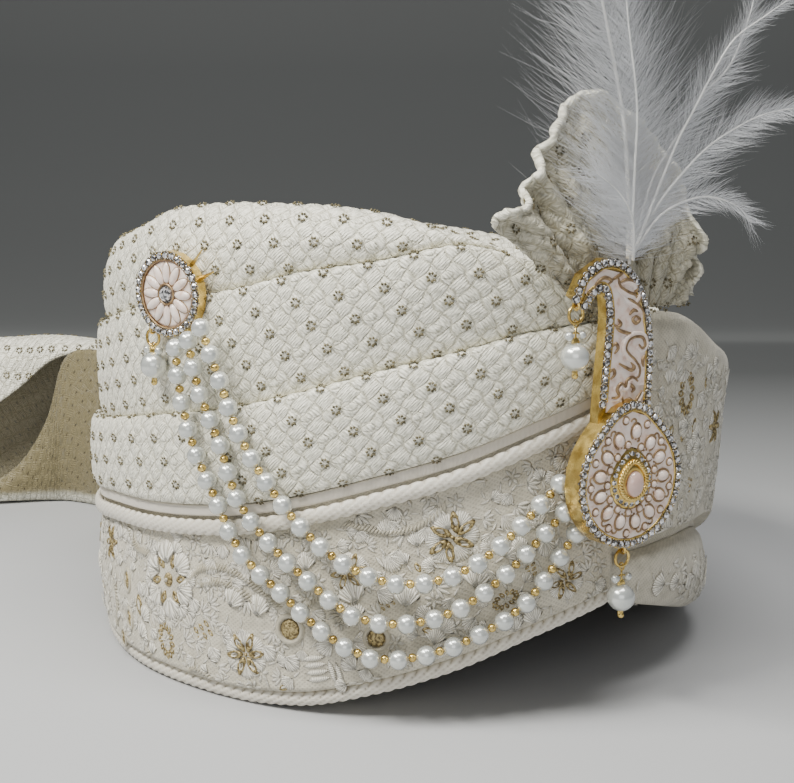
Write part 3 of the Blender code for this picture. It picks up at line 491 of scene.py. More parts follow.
def brocade_finish():
    """Cream brocade: satin hatched two ways between curved creases, with a leaf beside each motif, and
    painted shade, sheen and glints.
    """
    finish = Finish("brocade", (0.84, 0.79, 0.67), 0.46, Sheen_Weight=0.3, Sheen_Roughness=0.4,
                    Specular_IOR_Level=0.4)
    maths = finish.maths
    place = finish.node("SeparateXYZ", {0: finish.node("UVMap", uv_map="cloth").outputs[0]})
    along, up = place.outputs[0], place.outputs[1]
    rise = maths("DIVIDE", up, MOTIF_ROW)
    across = maths("MULTIPLY_ADD", rise, -MOTIF_SHIFT, maths("DIVIDE", along, MOTIF_PITCH))
    wander = maths("MULTIPLY_ADD", finish.noise(finish.cloth_place(), 150.0, 2.0), 0.30, -0.15)
    bend = maths("MULTIPLY_ADD", maths("SINE", maths("MULTIPLY", rise, 2 * math.pi)), NET_BEND, wander)
    level = maths("SUBTRACT", maths("ADD", across, bend), NET_PLACE)
    steep = maths("MULTIPLY", level, 2.0)
    slanted = maths("MULTIPLY", maths("ADD", level, rise), 2.0)
    crease = maths("MINIMUM", maths("PINGPONG", steep, 0.5), maths("PINGPONG", slanted, 0.5))
    cell = finish.node("MapRange", {0: crease, 1: 0.0, 2: 0.11, 3: 0.0, 4: 1.0},
                       interpolation_type="SMOOTHSTEP")
    beside = maths("ADD", maths("SUBTRACT", across, maths("ROUND", across)), LEAF_PLACE)
    beyond = maths("ABSOLUTE", maths("SUBTRACT", rise, maths("ROUND", rise)))
    leaf = maths("ADD", maths("POWER", maths("DIVIDE", beside, LEAF_HALF_WIDTH), 2.0),
                 maths("DIVIDE", beyond, LEAF_HALF_HEIGHT))
    edge = finish.node("MapRange", {0: maths("ABSOLUTE", maths("SUBTRACT", leaf, 1.0)), 1: 0.03, 2: 0.30,
                                    3: 0.25, 4: 1.0})
    height = maths("MINIMUM", cell.outputs[0], edge.outputs[0])
    parity = maths("PINGPONG", maths("ADD", maths("FLOOR", steep), maths("FLOOR", slanted)), 1.0)
    slope = maths("MULTIPLY_ADD", parity, 2.2, -1.0)
    hatch = maths("MULTIPLY_ADD", up, slope, along)
    stripes = maths("SINE", maths("MULTIPLY", hatch, 2 * math.pi / SATIN_PITCH))
    along_hatch = maths("MULTIPLY_ADD", along, maths("MULTIPLY", slope, -0.22), maths("MULTIPLY", up, 0.22))
    streak = finish.node("CombineXYZ", {0: hatch, 1: along_hatch}).outputs[0]
    glints = finish.noise(streak, 1300.0, 1.5, 0.6)
    # Painted shade darkens the creases and the leaves' edges; painted highlight makes the raised cells paler.
    tint = finish.ramp(height, (0.0, (0.66, 0.63, 0.52)), (0.5, (0.84, 0.81, 0.695)),
                       (1.0, (0.93, 0.905, 0.80)))
    shine = finish.ramp(maths("MULTIPLY_ADD", stripes, 0.5, 0.5), (0.0, (0.88, 0.87, 0.845)),
                        (0.7, (1.0, 1.0, 1.0)))
    tint = finish.blend(0.8, tint, shine, "MULTIPLY")
    # Painted glints: short light and dark streaks along the hatching, carried as grain.
    grain = finish.ramp(glints, (0.38, (0.62, 0.62, 0.57)), (0.58, (1.10, 1.10, 1.07)))
    tint = finish.blend(0.9, tint, grain, "MULTIPLY")
    dots_x = maths("MULTIPLY", maths("PINGPONG", maths("MULTIPLY", across, 2.0), 0.5), MOTIF_PITCH / 2)
    dots_y = maths("MULTIPLY", maths("PINGPONG", maths("MULTIPLY", rise, DOT_ROWS), 0.5),
                   MOTIF_ROW / DOT_ROWS)
    dot = maths("SQRT", maths("ADD", maths("POWER", dots_x, 2.0), maths("POWER", dots_y, 2.0)))
    spots = finish.node("MapRange", {0: dot, 1: 0.0004, 2: 0.0008, 3: 0.0, 4: 1.0}).outputs[0]
    # The dark reverse colour with its dots, laid on by a vertex value: the cloth's own back on the tail,
    # painted shade on the fan.
    wrong = finish.blend(spots, (0.06, 0.045, 0.022), (0.215, 0.18, 0.095))
    tint = finish.blend(finish.value("reverse"), tint, finish.blend(0.6, wrong, grain, "MULTIPLY"))
    finish.set("Base Color", tint)
    right_side = maths("MULTIPLY_ADD", finish.value("reverse"), -0.8, 1.0)
    finish.bump((maths("MULTIPLY", height, right_side), 0.7, 0.0004), (stripes, 0.35, 0.00018),
                (glints, 0.9, 0.00040))
    return finish.material


def net_finish():
    """The border's ground: fine net over cream cloth, with painted shade in its holes and soft patches of
    painted light and shade.
    """
    finish = Finish("embroidery_ground", (0.66, 0.61, 0.51), 0.72, Sheen_Weight=0.25, Specular_IOR_Level=0.3)
    mesh = crossed_threads(finish, 0.0011, 0.9, -0.9)
    soft = finish.noise(finish.object_place(), 170.0, 4.0, 0.65)
    # Painted shade in the net's holes, and soft patches of painted light and shade over the cloth.
    tint = finish.ramp(mesh, (0.15, (0.50, 0.465, 0.375)), (0.8, (0.64, 0.60, 0.495)))
    shade = finish.ramp(soft, (0.32, (0.66, 0.64, 0.60)), (0.68, (1.1, 1.09, 1.06)))
    tint = finish.blend(0.7, tint, shade, "MULTIPLY")
    finish.set("Base Color", tint)
    finish.bump((mesh, 0.4, 0.0002), (soft, 0.8, 0.0012))
    return finish.material


def rope_finish():
    """Satin cord, with painted shade in the grooves between its strands."""
    finish = Finish("satin_cord", (0.85, 0.79, 0.67), 0.38, Sheen_Weight=0.3, Specular_IOR_Level=0.5)
    # Painted shade: dark in the grooves, pale on the strands.
    tint = finish.ramp(finish.value("relief"), (0.05, (0.33, 0.285, 0.20)), (0.45, (0.68, 0.62, 0.50)),
                       (1.0, (0.88, 0.83, 0.72)))
    finish.set("Base Color", tint)
    finish.bump((finish.waves(finish.cloth_place(), 0.0005, 0.3, 1.0), 0.4, 0.0002))
    return finish.material


def gold_thread_finish(name, deep, pale, metallic, grain):
    """Metallic gold yarn, dulled with age."""
    finish = Finish(name, pale, 0.42, metallic)
    finish.bump((finish.mottle(grain, 2.0, (0.38, deep), (0.62, pale)), 0.8, 0.0004))
    return finish.material


def satin_stitch_finish(name, colour, deep, metallic=0.0, roughness=0.42):
    """Yarn laid side by side across a petal or a leaf, with painted shade between the yarns."""
    finish = Finish(name, colour, roughness, metallic, Sheen_Weight=0.3, Specular_IOR_Level=0.45)
    yarn = finish.waves(finish.cloth_place(), 0.00042, 0.4, 1.0)
    # Painted shade in the grooves between the yarns.
    finish.set("Base Color", finish.ramp(yarn, (0.0, deep), (0.55, colour)))
    finish.bump((yarn, 0.7, 0.00025))
    return finish.material


def lining_finish():
    """Plain woven cloth inside the crown."""
    colour = (0.68, 0.62, 0.52)
    finish = Finish("crown_lining", colour, 0.7, Sheen_Weight=0.3, Sheen_Roughness=0.4,
                    Specular_IOR_Level=0.3)
    finish.mottle(60.0, 4.0, (0.3, dimmed(colour, 0.86)), (0.7, dimmed(colour, 1.08)))
    finish.bump((crossed_threads(finish, 0.0007, 0.0, math.pi / 2), 0.5, 0.0002))
    return finish.material


def gold_metal_finish():
    """Gold plating, a little darker in patches where it is smoother."""
    finish = Finish("gold_metal", (0.80, 0.58, 0.20), 0.22, 1.0)
    patches = finish.mottle(260.0, 3.0, (0.3, (0.46, 0.30, 0.08)), (0.6, (0.88, 0.65, 0.22)))
    finish.set("Roughness", finish.maths("MULTIPLY_ADD", patches, 0.22, 0.14))
    finish.bump((finish.noise(finish.object_place(), 700.0, 2.0), 0.15, 0.0002))
    return finish.material


def enamel_finish():
    """Pale pink enamel, browner in soft random patches."""
    finish = Finish("pale_enamel", (0.88, 0.70, 0.60), 0.3, Coat_Weight=0.5, Coat_Roughness=0.12)
    finish.mottle(420.0, 4.0, (0.30, (0.74, 0.52, 0.41)), (0.46, (0.89, 0.73, 0.64)),
                  (0.75, (0.94, 0.85, 0.79)))
    finish.bump((finish.noise(finish.object_place(), 500.0, 2.0), 0.2, 0.0003))
    return finish.material


def stone_finish(name, colour, depth, clear, metallic, grain):
    """A cut stone whose dark and bright patches are painted reflections in its facets."""
    # Painted reflections: noise between a dark share of the colour and the full colour.
    return mottled_finish(name, colour, 0.06, metallic, grain, 1.0, (0.42, dimmed(colour, depth)),
                          (0.56, colour),
                          IOR=1.7, Coat_Weight=1.0, Coat_Roughness=0.02, Transmission_Weight=clear)


def feather_finish(name, colour, glow):
    """Feather barbs and quills, which let some light through."""
    return mottled_finish(name, colour, 0.65, 0.0, 90.0, 2.0, (0.3, dimmed(colour, 0.88)), (0.7, colour),
                          Sheen_Weight=0.2, Subsurface_Weight=glow, Subsurface_Scale=0.5,
                          Subsurface_Radius=(0.001, 0.001, 0.001))


MOTIF_PITCH = 0.0148
MOTIF_ROW = 0.0081
MOTIF_SHIFT = 0.37
NET_PLACE = 0.33
NET_BEND = 0.055
SATIN_PITCH = 0.0014
LEAF_PLACE = 0.29
LEAF_HALF_WIDTH = 0.19
LEAF_HALF_HEIGHT = 0.20
DOT_ROWS = 1.6
QUILT_RISE = 0.00050
MOTIF_LIFT = 0.0002
BROCADE = brocade_finish()
GROUND = net_finish()
ROPE = rope_finish()
LINING = lining_finish()
SATIN = satin_stitch_finish("satin", (0.87, 0.81, 0.70), (0.66, 0.59, 0.48), roughness=0.36)
WHITE_YARN = satin_stitch_finish("white_yarn", (0.95, 0.91, 0.80), (0.47, 0.43, 0.33))
GOLD_THREAD = gold_thread_finish("gold_thread", (0.07, 0.06, 0.03), (0.27, 0.23, 0.13), 0.3, 1100.0)
GOLD_PURL = gold_thread_finish("gold_purl", (0.12, 0.085, 0.035), (0.53, 0.42, 0.20), 0.5, 1300.0)
GOLD_METAL = gold_metal_finish()
ANTIQUE_GOLD = mottled_finish("antique_gold", (0.34, 0.23, 0.12), 0.42, 0.7, 500.0, 2.0,
                              (0.3, (0.20, 0.125, 0.065)), (0.7, (0.50, 0.35, 0.19)))
PEARL = mottled_finish("pearl", (0.78, 0.78, 0.73), 0.24, 0.55, 130.0, 2.0, (0.3, (0.63, 0.655, 0.63)),
                       (0.7, (0.77, 0.78, 0.73)), Coat_Weight=1.0, Coat_Roughness=0.06)
ENAMEL = enamel_finish()
CLEAR_STONE = stone_finish("clear_stone", (0.98, 0.98, 1.0), 0.10, 0.0, 0.55, 1000.0)
PINK_STONE = stone_finish("pink_stone", (0.90, 0.62, 0.54), 0.82, 0.1, 0.0, 160.0)
# The silver cups' near-black and pale patches are painted shade and painted reflections.
SILVER = mottled_finish("silver_cup", (0.62, 0.60, 0.58), 0.22, 1.0, 800.0, 1.0, (0.35, (0.09, 0.08, 0.07)),
                        (0.65, (0.66, 0.64, 0.62)))
BARB = feather_finish("feather_barb", (0.78, 0.79, 0.81), 0.25)
QUILL = feather_finish("feather_quill", (0.93, 0.92, 0.89), 0.3)


# Repeated work, placed by Geometry Nodes

def scatter_tree():
    """Geometry nodes that put a shape at each point with the point's own turn and size."""
    tree = bpy.data.node_groups.new("set_out", "GeometryNodeTree")
    for label, kind, way in (("Points", "Geometry", "INPUT"), ("Shape", "Object", "INPUT"),
                             ("Finish", "Material", "INPUT"), ("Result", "Geometry", "OUTPUT")):
        tree.interface.new_socket(label, in_out=way, socket_type="NodeSocket" + kind)
    nodes = {label: tree.nodes.new(kind) for label, kind in (
        ("given", "NodeGroupInput"), ("result", "NodeGroupOutput"), ("shape", "GeometryNodeObjectInfo"),
        ("turn", "GeometryNodeInputNamedAttribute"), ("size", "GeometryNodeInputNamedAttribute"),
        ("rotation", "FunctionNodeEulerToRotation"), ("place", "GeometryNodeInstanceOnPoints"),
        ("real", "GeometryNodeRealizeInstances"), ("paint", "GeometryNodeSetMaterial"))}
    for label in ("turn", "size"):
        nodes[label].data_type = "FLOAT_VECTOR"
        nodes[label].inputs["Name"].default_value = label
    for source, out, target, into in (
            ("given", "Shape", "shape", "Object"), ("given", "Points", "place", "Points"),
            ("shape", "Geometry", "place", "Instance"), ("turn", "Attribute", "rotation", 0),
            ("rotation", 0, "place", "Rotation"), ("size", "Attribute", "place", "Scale"),
            ("place", 0, "real", 0), ("real", 0, "paint", "Geometry"),
            ("given", "Finish", "paint", "Material"), ("paint", 0, "result", 0)):
        tree.links.new(nodes[source].outputs[out], nodes[target].inputs[into])
    return tree


SCATTER = scatter_tree()


def plain_mesh(piece):
    """Turns a piece's modifiers into its plain mesh."""
    graph = bpy.context.evaluated_depsgraph_get()
    made = bpy.data.meshes.new_from_object(piece.evaluated_get(graph))
    piece.modifiers.clear()
    old = piece.data
    piece.data = made
    bpy.data.meshes.remove(old)
    return piece


def set_out(name, shape, spots, material):
    """One mesh piece with a shape at each spot: rows of place, x, y and z ways, and size."""
    places, turns, sizes = [], [], []
    for place, way_x, way_y, way_z, size in spots:
        matrix = Matrix((way_x, way_y, way_z)).transposed()
        places.append(place)
        turns.append(matrix.to_euler("XYZ")[:])
        sizes.append(size if np.ndim(size) else (size, size, size))
    points = make_piece(name, np.array(places), [], material)
    for label, data in (("turn", turns), ("size", sizes)):
        points.data.attributes.new(label, "FLOAT_VECTOR", "POINT").data.foreach_set("vector", np.ravel(data))
    setting = points.modifiers.new("set_out", "NODES")
    setting.node_group = SCATTER
    sockets = {item.name: item.identifier for item in SCATTER.interface.items_tree if item.in_out == "INPUT"}
    setting[sockets["Shape"]] = shape
    setting[sockets["Finish"]] = material
    return plain_mesh(points)


def pattern_shape(name, points, faces, uv=None, smooth=True):
    """A small shape that set_out repeats; it is removed at the end."""
    shape = make_piece(name, points, faces, WHITE_YARN, uv, None, smooth, move=False)
    SHAPES.append(shape)
    return shape


SHAPES = []


def turned_shape(name, profile, sides, smooth=True):
    """A turned shape about z from rows of radius and height, closed at its poles."""
    points, faces = [(0.0, 0.0, profile[0][1])], []
    for radius, height in profile[1:-1]:
        for side in range(sides):
            turn = 2 * math.pi * side / sides
            points.append((radius * math.cos(turn), radius * math.sin(turn), height))
    points.append((0.0, 0.0, profile[-1][1]))
    top = len(points) - 1
    for side in range(sides):
        after = (side + 1) % sides
        faces.append((0, 1 + after, 1 + side))
        for ring in range(len(profile) - 3):
            low, high = 1 + ring * sides, 1 + (ring + 1) * sides
            faces.append((low + side, low + after, high + after, high + side))
        last = 1 + (len(profile) - 3) * sides
        faces.append((last + side, last + after, top))
    return pattern_shape(name, points, faces, smooth=smooth)


def ball_profile(rings=9, radius=0.5, flat=1.0):
    """A ball's profile from pole to pole."""
    turns = [math.pi * ring / rings - math.pi / 2 for ring in range(rings + 1)]
    return [(radius * math.cos(turn), radius * flat * math.sin(turn)) for turn in turns]


def stitch_shape():
    """One stitch: a short fat thread, pointed at both ends, along x."""
    points, faces = [(-0.5, 0, 0), (0.5, 0, 0)], []
    for side in range(4):
        turn = math.pi / 2 * side
        points.append((0.0, 0.2 * math.cos(turn), 0.2 * math.sin(turn)))
    for side in range(4):
        after = (side + 1) % 4
        faces += [(0, 2 + after, 2 + side), (1, 2 + side, 2 + after)]
    return pattern_shape("stitch_shape", points, faces)


def petal_shape(name, rows=7, across=5, fullness=0.5, point=0.7):
    """A raised petal of satin stitches along x, from its root at zero to its tip at one."""
    points, uv_at = [], []
    for row in range(rows + 1):
        share = row / rows
        half = fullness / 2 * math.sin(math.pi * share ** point) ** 0.75 + 0.004
        for step in range(across + 1):
            side = step / across * 2 - 1
            rise = 0.32 * fullness * math.sqrt(max(0.0, 1 - side * side)) * math.sin(math.pi * share) ** 0.5
            points.append((share, half * side, rise))
            uv_at.append((share * 0.006, half * side * 0.006))
    faces = []
    for row in range(rows):
        for step in range(across):
            first = row * (across + 1) + step
            faces.append((first, first + across + 1, first + across + 2, first + 1))
    far = rows * (across + 1)
    rim = [row * (across + 1) for row in range(rows + 1)] + [far + step for step in range(1, across + 1)]
    rim += [row * (across + 1) + across for row in range(rows - 1, -1, -1)] + list(range(across - 1, 0, -1))
    faces.append(tuple(rim[::-1]))
    uv = [uv_at[corner] for face in faces for corner in face]
    return pattern_shape(name, points, faces, uv)


def fan_shape(ribs=7, rings=3, spread=66.0):
    """A fan of raised satin stitches, from its root at zero to its scalloped rim."""
    columns = 2 * ribs
    points, uv_at = [(0.0, 0.0, 0.04)], [(0.0, 0.0)]
    for ring in range(1, rings + 1):
        for step in range(columns + 1):
            turn = math.radians(spread * (2 * step / columns - 1))
            rib = step % 2
            reach = ring / rings * (1.0 if rib or ring < rings else 0.93)
            rise = (0.22 if rib else 0.09) * math.sin(math.pi * (0.15 + 0.80 * ring / rings)) + 0.01
            points.append((reach * math.cos(turn), reach * math.sin(turn), rise if ring < rings else 0.015))
            uv_at.append((turn * 0.0019, reach * 0.004))
    faces = [(0, 1 + step, 2 + step) for step in range(columns)]
    for ring in range(rings - 1):
        for step in range(columns):
            first = 1 + ring * (columns + 1) + step
            after = first + columns + 1
            faces.append((first, after, after + 1, first + 1))
    last = 1 + (rings - 1) * (columns + 1)
    rim = [0] + [1 + ring * (columns + 1) for ring in range(rings)]
    rim += [last + step for step in range(1, columns + 1)]
    rim += [1 + ring * (columns + 1) + columns for ring in range(rings - 2, -1, -1)]
    faces.append(tuple(rim[::-1]))
    uv = [uv_at[corner] for face in faces for corner in face]
    return pattern_shape("fan_petal_shape", points, faces, uv)


def ring_shape(name, around, sides, wire, pointed):
    """A closed loop of cord, one long and one wide; pointed draws its two ends in."""
    points, faces = [], []
    for step in range(around):
        turn = 2 * math.pi * step / around
        wide = abs(math.sin(turn)) ** pointed if pointed else 1.0
        for side in range(sides):
            lift = 2 * math.pi * side / sides
            reach = 0.5 - wire + wire * math.cos(lift)
            points.append((reach * math.cos(turn), reach * math.sin(turn) * wide, wire * math.sin(lift)))
    for step in range(around):
        for side in range(sides):
            first, after = step * sides, (step + 1) % around * sides
            above = (side + 1) % sides
            faces.append((first + side, after + side, after + above, first + above))
    return pattern_shape(name, points, faces)


BALL = turned_shape("ball_shape", ball_profile(10), 16)
SMALL_BALL = turned_shape("small_ball_shape", ball_profile(6), 8)
STITCH = stitch_shape()
LEAF = petal_shape("leaf_shape", rows=4, across=2, fullness=1.0, point=0.85)
FAN_PETAL = fan_shape()
LOOP = ring_shape("loop_shape", 12, 4, 0.17, 0.35)
RING = ring_shape("ring_shape", 20, 6, 0.085, 0.0)
DISC = turned_shape("disc_shape", [(0, -0.1), (0.5, -0.1), (0.5, 0.10), (0.38, 0.30), (0.2, 0.42), (0, 0.45)],
                    12)


# The brocade

def brocade_relief(along, up):
    """The soft quilting of the brocade's net, from 0 in its creases to 1."""
    rise = up / MOTIF_ROW
    level = along / MOTIF_PITCH - MOTIF_SHIFT * rise + NET_BEND * np.sin(2 * math.pi * rise) - NET_PLACE
    steep, slanted = 2 * level, 2 * (level + rise)
    crease = np.minimum(np.abs(steep - np.round(steep)), np.abs(slanted - np.round(slanted)))
    return smooth_step(0.0, 0.34, crease)


def brocade_spots(face, low_up=None):
    """Where the gold motifs lie on a face of brocade."""
    spots = []
    low_up, high_up = face.up.min() if low_up is None else low_up, face.up.max()
    for row in range(math.ceil(low_up / MOTIF_ROW), math.ceil(high_up / MOTIF_ROW) + 1):
        for number in range(math.floor(face.along[0] / MOTIF_PITCH - MOTIF_SHIFT * row),
                            math.ceil(face.along[-1] / MOTIF_PITCH - MOTIF_SHIFT * row) + 1):
            spot = face.at((number + MOTIF_SHIFT * row) * MOTIF_PITCH, row * MOTIF_ROW)
            if spot:
                place, right, upward, normal = spot
                spots.append((place + normal * MOTIF_LIFT, right, upward, normal, 1.0))
    return spots


def motif_shape():
    """A rosette of stitches, the size of one motif."""
    draw = np.random.default_rng(4)
    points, faces = [], []
    base = STITCH.data
    for number in range(7):
        turn = 2 * math.pi * number / 7 + draw.uniform(-0.2, 0.2)
        length = 0.0014 * draw.uniform(0.8, 1.2)
        first = len(points)
        for vertex in base.vertices:
            x = 0.0013 + vertex.co.x * length
            y = vertex.co.y * 0.0026
            points.append((x * math.cos(turn) - y * math.sin(turn), x * math.sin(turn) + y * math.cos(turn),
                           vertex.co.z * 0.0018))
        faces += [[first + corner for corner in face.vertices] for face in base.polygons]
    return pattern_shape("motif_shape", points, faces)


MOTIF = motif_shape()
MOTIF_SPOTS = []


def profile_face(controls, rows):
    """Evenly spaced points up a smooth profile, for every column at once: controls of (setback, height)."""
    controls = np.stack([np.stack(np.broadcast_arrays(*point), -1) for point in controls], 0)
    curve = spline_points(controls.reshape(len(controls), -1), 10).reshape(-1, *controls.shape[1:])
    steps = np.linalg.norm(np.diff(curve, axis=0), axis=-1)
    lengths = np.concatenate([np.zeros((1, steps.shape[1])), np.cumsum(steps, 0)])
    columns = curve.shape[1]
    out = np.zeros((columns, rows, 2))
    for column in range(columns):
        wanted = np.linspace(0, lengths[-1, column], rows)
        for part in range(2):
            out[column, :, part] = np.interp(wanted, lengths[:, column], curve[:, column, part])
    return out, lengths[-1]


def wound_cloth(name, node, angles, controls, back, rows, material, slot, relief_rise=0.0, fold=0.0, seed=1):
    """A wound turn of cloth whose face follows a profile and whose back lies on the crown."""
    profile, lengths = profile_face(controls, rows)
    along = length_round(angles)
    share = np.linspace(0, 1, rows)[None, :]
    up = share * lengths[:, None] - lengths[:, None] * fold
    puff = 0.0004 * ripple(along[:, None] * 40, up * 90, seed=seed)
    points = on_turban(angles[:, None], profile[..., 0] - puff, profile[..., 1])
    fade = smooth_step(0.0, 0.04, share) * smooth_step(0.0, 0.02, 1 - share)
    raised = brocade_relief(along[:, None], up) * fade * relief_rise
    points = points + grid_normals(points) * raised[..., None]
    section = np.concatenate([points, np.stack([on_turban(angles, *place) for place in back], 1)], 1)
    uv = tube_uv(along, up, up[:, -1:] + 0.001 * np.arange(1, len(back) + 2))
    finished(tube_piece(name, section, uv, material), slot, node)
    return Face(points, along, up)


def back_on_crown(angles, upper, lower, bottom, top):
    """The back of a turn: in from its upper edge, down the crown and out again at its foot."""
    crown = crown_setback(angles)
    return [((upper + crown) / 2, top), (crown, top), (crown, (bottom + top) / 2), (crown, bottom),
            ((crown + lower) / 2, bottom)]


def turn_angles(first, last, step=CLOTH_GRID):
    """Angles round the turban, evenly spaced along the cloth."""
    lengths = length_round(np.array([first, last]))
    return angle_round(np.linspace(*lengths, int((lengths[1] - lengths[0]) / step) + 1))


START = FRONT_JOINT + FRONT_JOINT_GAP
FINISH = FRONT_JOINT + FULL_TURN - FRONT_JOINT_GAP
NEAR_TIP = 21.0
FAR_TIP = 300.0
TIP_REACH = 27.0
SEAM = 0.0002


def tip_setback(angles, near):
    """How far a turn draws in towards an end that is tucked under."""
    far = np.clip(1 - (FAR_TIP - angles) / TIP_REACH, 0, 1)
    close = np.clip(1 - (angles - NEAR_TIP) / TIP_REACH, 0, 1) if near else 0.0
    return BORDER_SETBACK * np.maximum(far, close) ** 2


def make_wraps():
    """The three visible turns of brocade above the border."""
    rows = (("lower_wrap", START, "border", "low", 0.0, False),
            ("middle_wrap", START, "low", "high", MIDDLE_SETBACK, False),
            ("top_wrap", NEAR_TIP, "high", "rim", TOP_SETBACK, True))
    for number, (node, first, lower, upper, setback, rim) in enumerate(rows):
        angles = turn_angles(first, FAR_TIP)
        low, high = height_at(lower, angles) + SEAM, height_at(upper, angles) - SEAM
        tall = high - low
        back = setback + tip_setback(angles, rim)
        curl = np.minimum(1.0, tall / 0.014)
        crown = crown_setback(angles)
        if rim:
            controls = [(back + 0.0016 * curl, low), (back + 0.0004, low + tall * 0.12),
                        (back, low + tall * 0.34),
                        (back + 0.0009 * curl, low + tall * 0.58), (back + 0.0042 * curl, low + tall * 0.86),
                        (back + 0.0100 * curl, high), (back + 0.0180 * curl, high - tall * 0.05),
                        (crown - 0.0010, low + tall * 0.78)]
            behind = [(crown, low + tall * 0.72), (crown, low + tall * 0.4), (crown, low),
                      (back + 0.010 * curl, low)]
            count = 74
            fold = 0.62
        else:
            controls = [(back + 0.0014 * curl, low), (back + 0.0005 * curl, low + tall * 0.10),
                        (back + 0.0001, low + tall * 0.34), (back, low + tall * 0.62),
                        (back + 0.0003 * curl, low + tall * 0.84),
                        (back + 0.0013 * curl, high - 0.0006 * curl),
                        (back + 0.0034 * curl, high), (back + 0.0100 * curl, high)]
            behind = [(crown, high), (crown, (low + high) / 2), (crown, low), (back + 0.008 * curl, low)]
            count = 62
            fold = 0.80
        face = wound_cloth(node + "_cloth", node, angles, controls, behind, count, BROCADE, "brocade",
                           QUILT_RISE, fold, seed=number + 3)
        MOTIF_SPOTS.extend(brocade_spots(face))


def border_profile(angles):
    """The border's face from its foot to its upper edge, and its back."""
    bottom = height_at("hem", angles)
    top = height_at("border", angles) - SEAM
    low, middle, high = (border_setback(angles, part) for part in ("low", "middle", "high"))
    lip = FOLD_ROUND * table_value(FLARES, "lip", angles)
    step = low + HEM_STEP
    tall = top - bottom
    controls = [(step, bottom), (step, bottom + HEM_STEP * 0.8), (low + 0.0012, bottom + HEM_STEP * 0.98),
                (low + 0.0002, bottom + HEM_STEP * 1.2), (middle, bottom + tall * 0.45),
                (high * 0.5 + middle * 0.5, bottom + tall * 0.70), (high, top - 0.0080),
                (high + lip * 0.3, top - 0.0030), (high + lip + 0.0004, top - 0.0004),
                (high + lip + 0.0030, top)]
    return controls, back_on_crown(angles, high, step, bottom, top)


def make_border():
    """The band that takes the embroidery, once round the bottom."""
    angles = turn_angles(START, FINISH)
    return wound_cloth("border_cloth", "border_band", angles, *border_profile(angles), 60, GROUND,
                       "embroidery",
                       seed=11)


ROLL_START = 273.0


def make_roll():
    """The rolled turn below the border on the wearer's left."""
    angles = turn_angles(ROLL_START, FINISH)
    bottom, top = height_at("foot", angles), height_at("hem", angles) - 2 * SEAM
    tall = top - bottom
    curl = 0.010 * np.minimum(1.0, tall / 0.040)
    step = border_setback(angles, "low") + HEM_STEP
    face = ((1.7, 0.0), (0.9, 0.02), (0.30, 0.16), (0.0, 0.42), (0.05, 0.66), (0.28, 0.90))
    controls = [(ROLL_SETBACK + curl * drawn, bottom + tall * share) for drawn, share in face] + [(step, top)]
    behind = back_on_crown(angles, step, ROLL_SETBACK, bottom, top)
    return wound_cloth("front_roll_cloth", "front_roll", angles, controls, behind, 56, GROUND, "brocade",
                       seed=12)


# The embroidery of the border

Motif = namedtuple("Motif", "kind angle share size turn")
NEEDLEWORK = tuple(Motif(*row) for row in (
    ("star", 102.3, 0.66, 0.0125, 10),
    ("flower", 80.4, 0.57, 0.0110, 0),
    ("eyelet", 93.5, 0.48, 0.0064, 105),
    ("eyelet", 92.2, 0.26, 0.0060, 110),
    ("eyelet", 95.0, 0.12, 0.0054, 95),
    ("oval", 88.8, 0.37, 0.0080, 108),
    ("loop_ring", 80.6, 0.23, 0.0126, 110),
    ("leaf_marks", 72.1, 0.33, 0.0085, 35),
    ("star", 63.6, 0.25, 0.0140, 8),
    ("ring_dot", 55.8, 0.38, 0.0108, 0),
    ("fan", 66.6, 0.48, 0.0085, 60),
    ("fan", 61.6, 0.44, 0.0085, 75),
    ("bars", 50.5, 0.16, 0.0150, 4),
    ("oval", 56.8, 0.10, 0.0040, 20),
    ("star", 30.4, 0.63, 0.0145, 20),
    ("oval", 38.6, 0.58, 0.0036, 80),
    ("oval", 35.7, 0.54, 0.0036, 100),
    ("star", 46.4, 0.60, 0.0110, 0),
    ("fan", 45.0, 0.45, 0.0090, 100),
    ("fan", 37.5, 0.38, 0.0085, 70),
    ("leaf_marks", 40.4, 0.42, 0.0050, 20),
    ("ring_dot", 42.0, 0.27, 0.0095, 0),
    ("loop_ring", 22.1, 0.25, 0.0085, 0),
    ("leaf_marks", 18.0, 0.33, 0.0050, 100),
    ("fan", 27.0, 0.36, 0.0090, 60),
    ("oval", 34.0, 0.24, 0.0045, 150),
    ("leaf_marks", 24.5, 0.08, 0.0060, 10),
    ("star", 12.0, 0.22, 0.0110, 0),
    ("bars", 31.0, 0.10, 0.0120, 8),
    ("loop_ring", 344.4, 0.66, 0.0150, 95),
    ("oval", 348.8, 0.50, 0.0060, 80),
    ("oval", 337.2, 0.74, 0.0050, 100),
    ("oval", 341.0, 0.52, 0.0062, 75),
    ("oval", 344.8, 0.48, 0.0055, 100),
    ("leaf_marks", 351.9, 0.31, 0.0060, 60),
    ("leaf_marks", 338.0, 0.93, 0.0060, 100),
    ("star", 330.0, 0.55, 0.0120, 0),
    ("leaf_marks", 340.0, 0.25, 0.0060, 70),
))
Part = namedtuple("Part", "kind count reach shift length width rise lift deep", defaults=(0.0, 0.0))
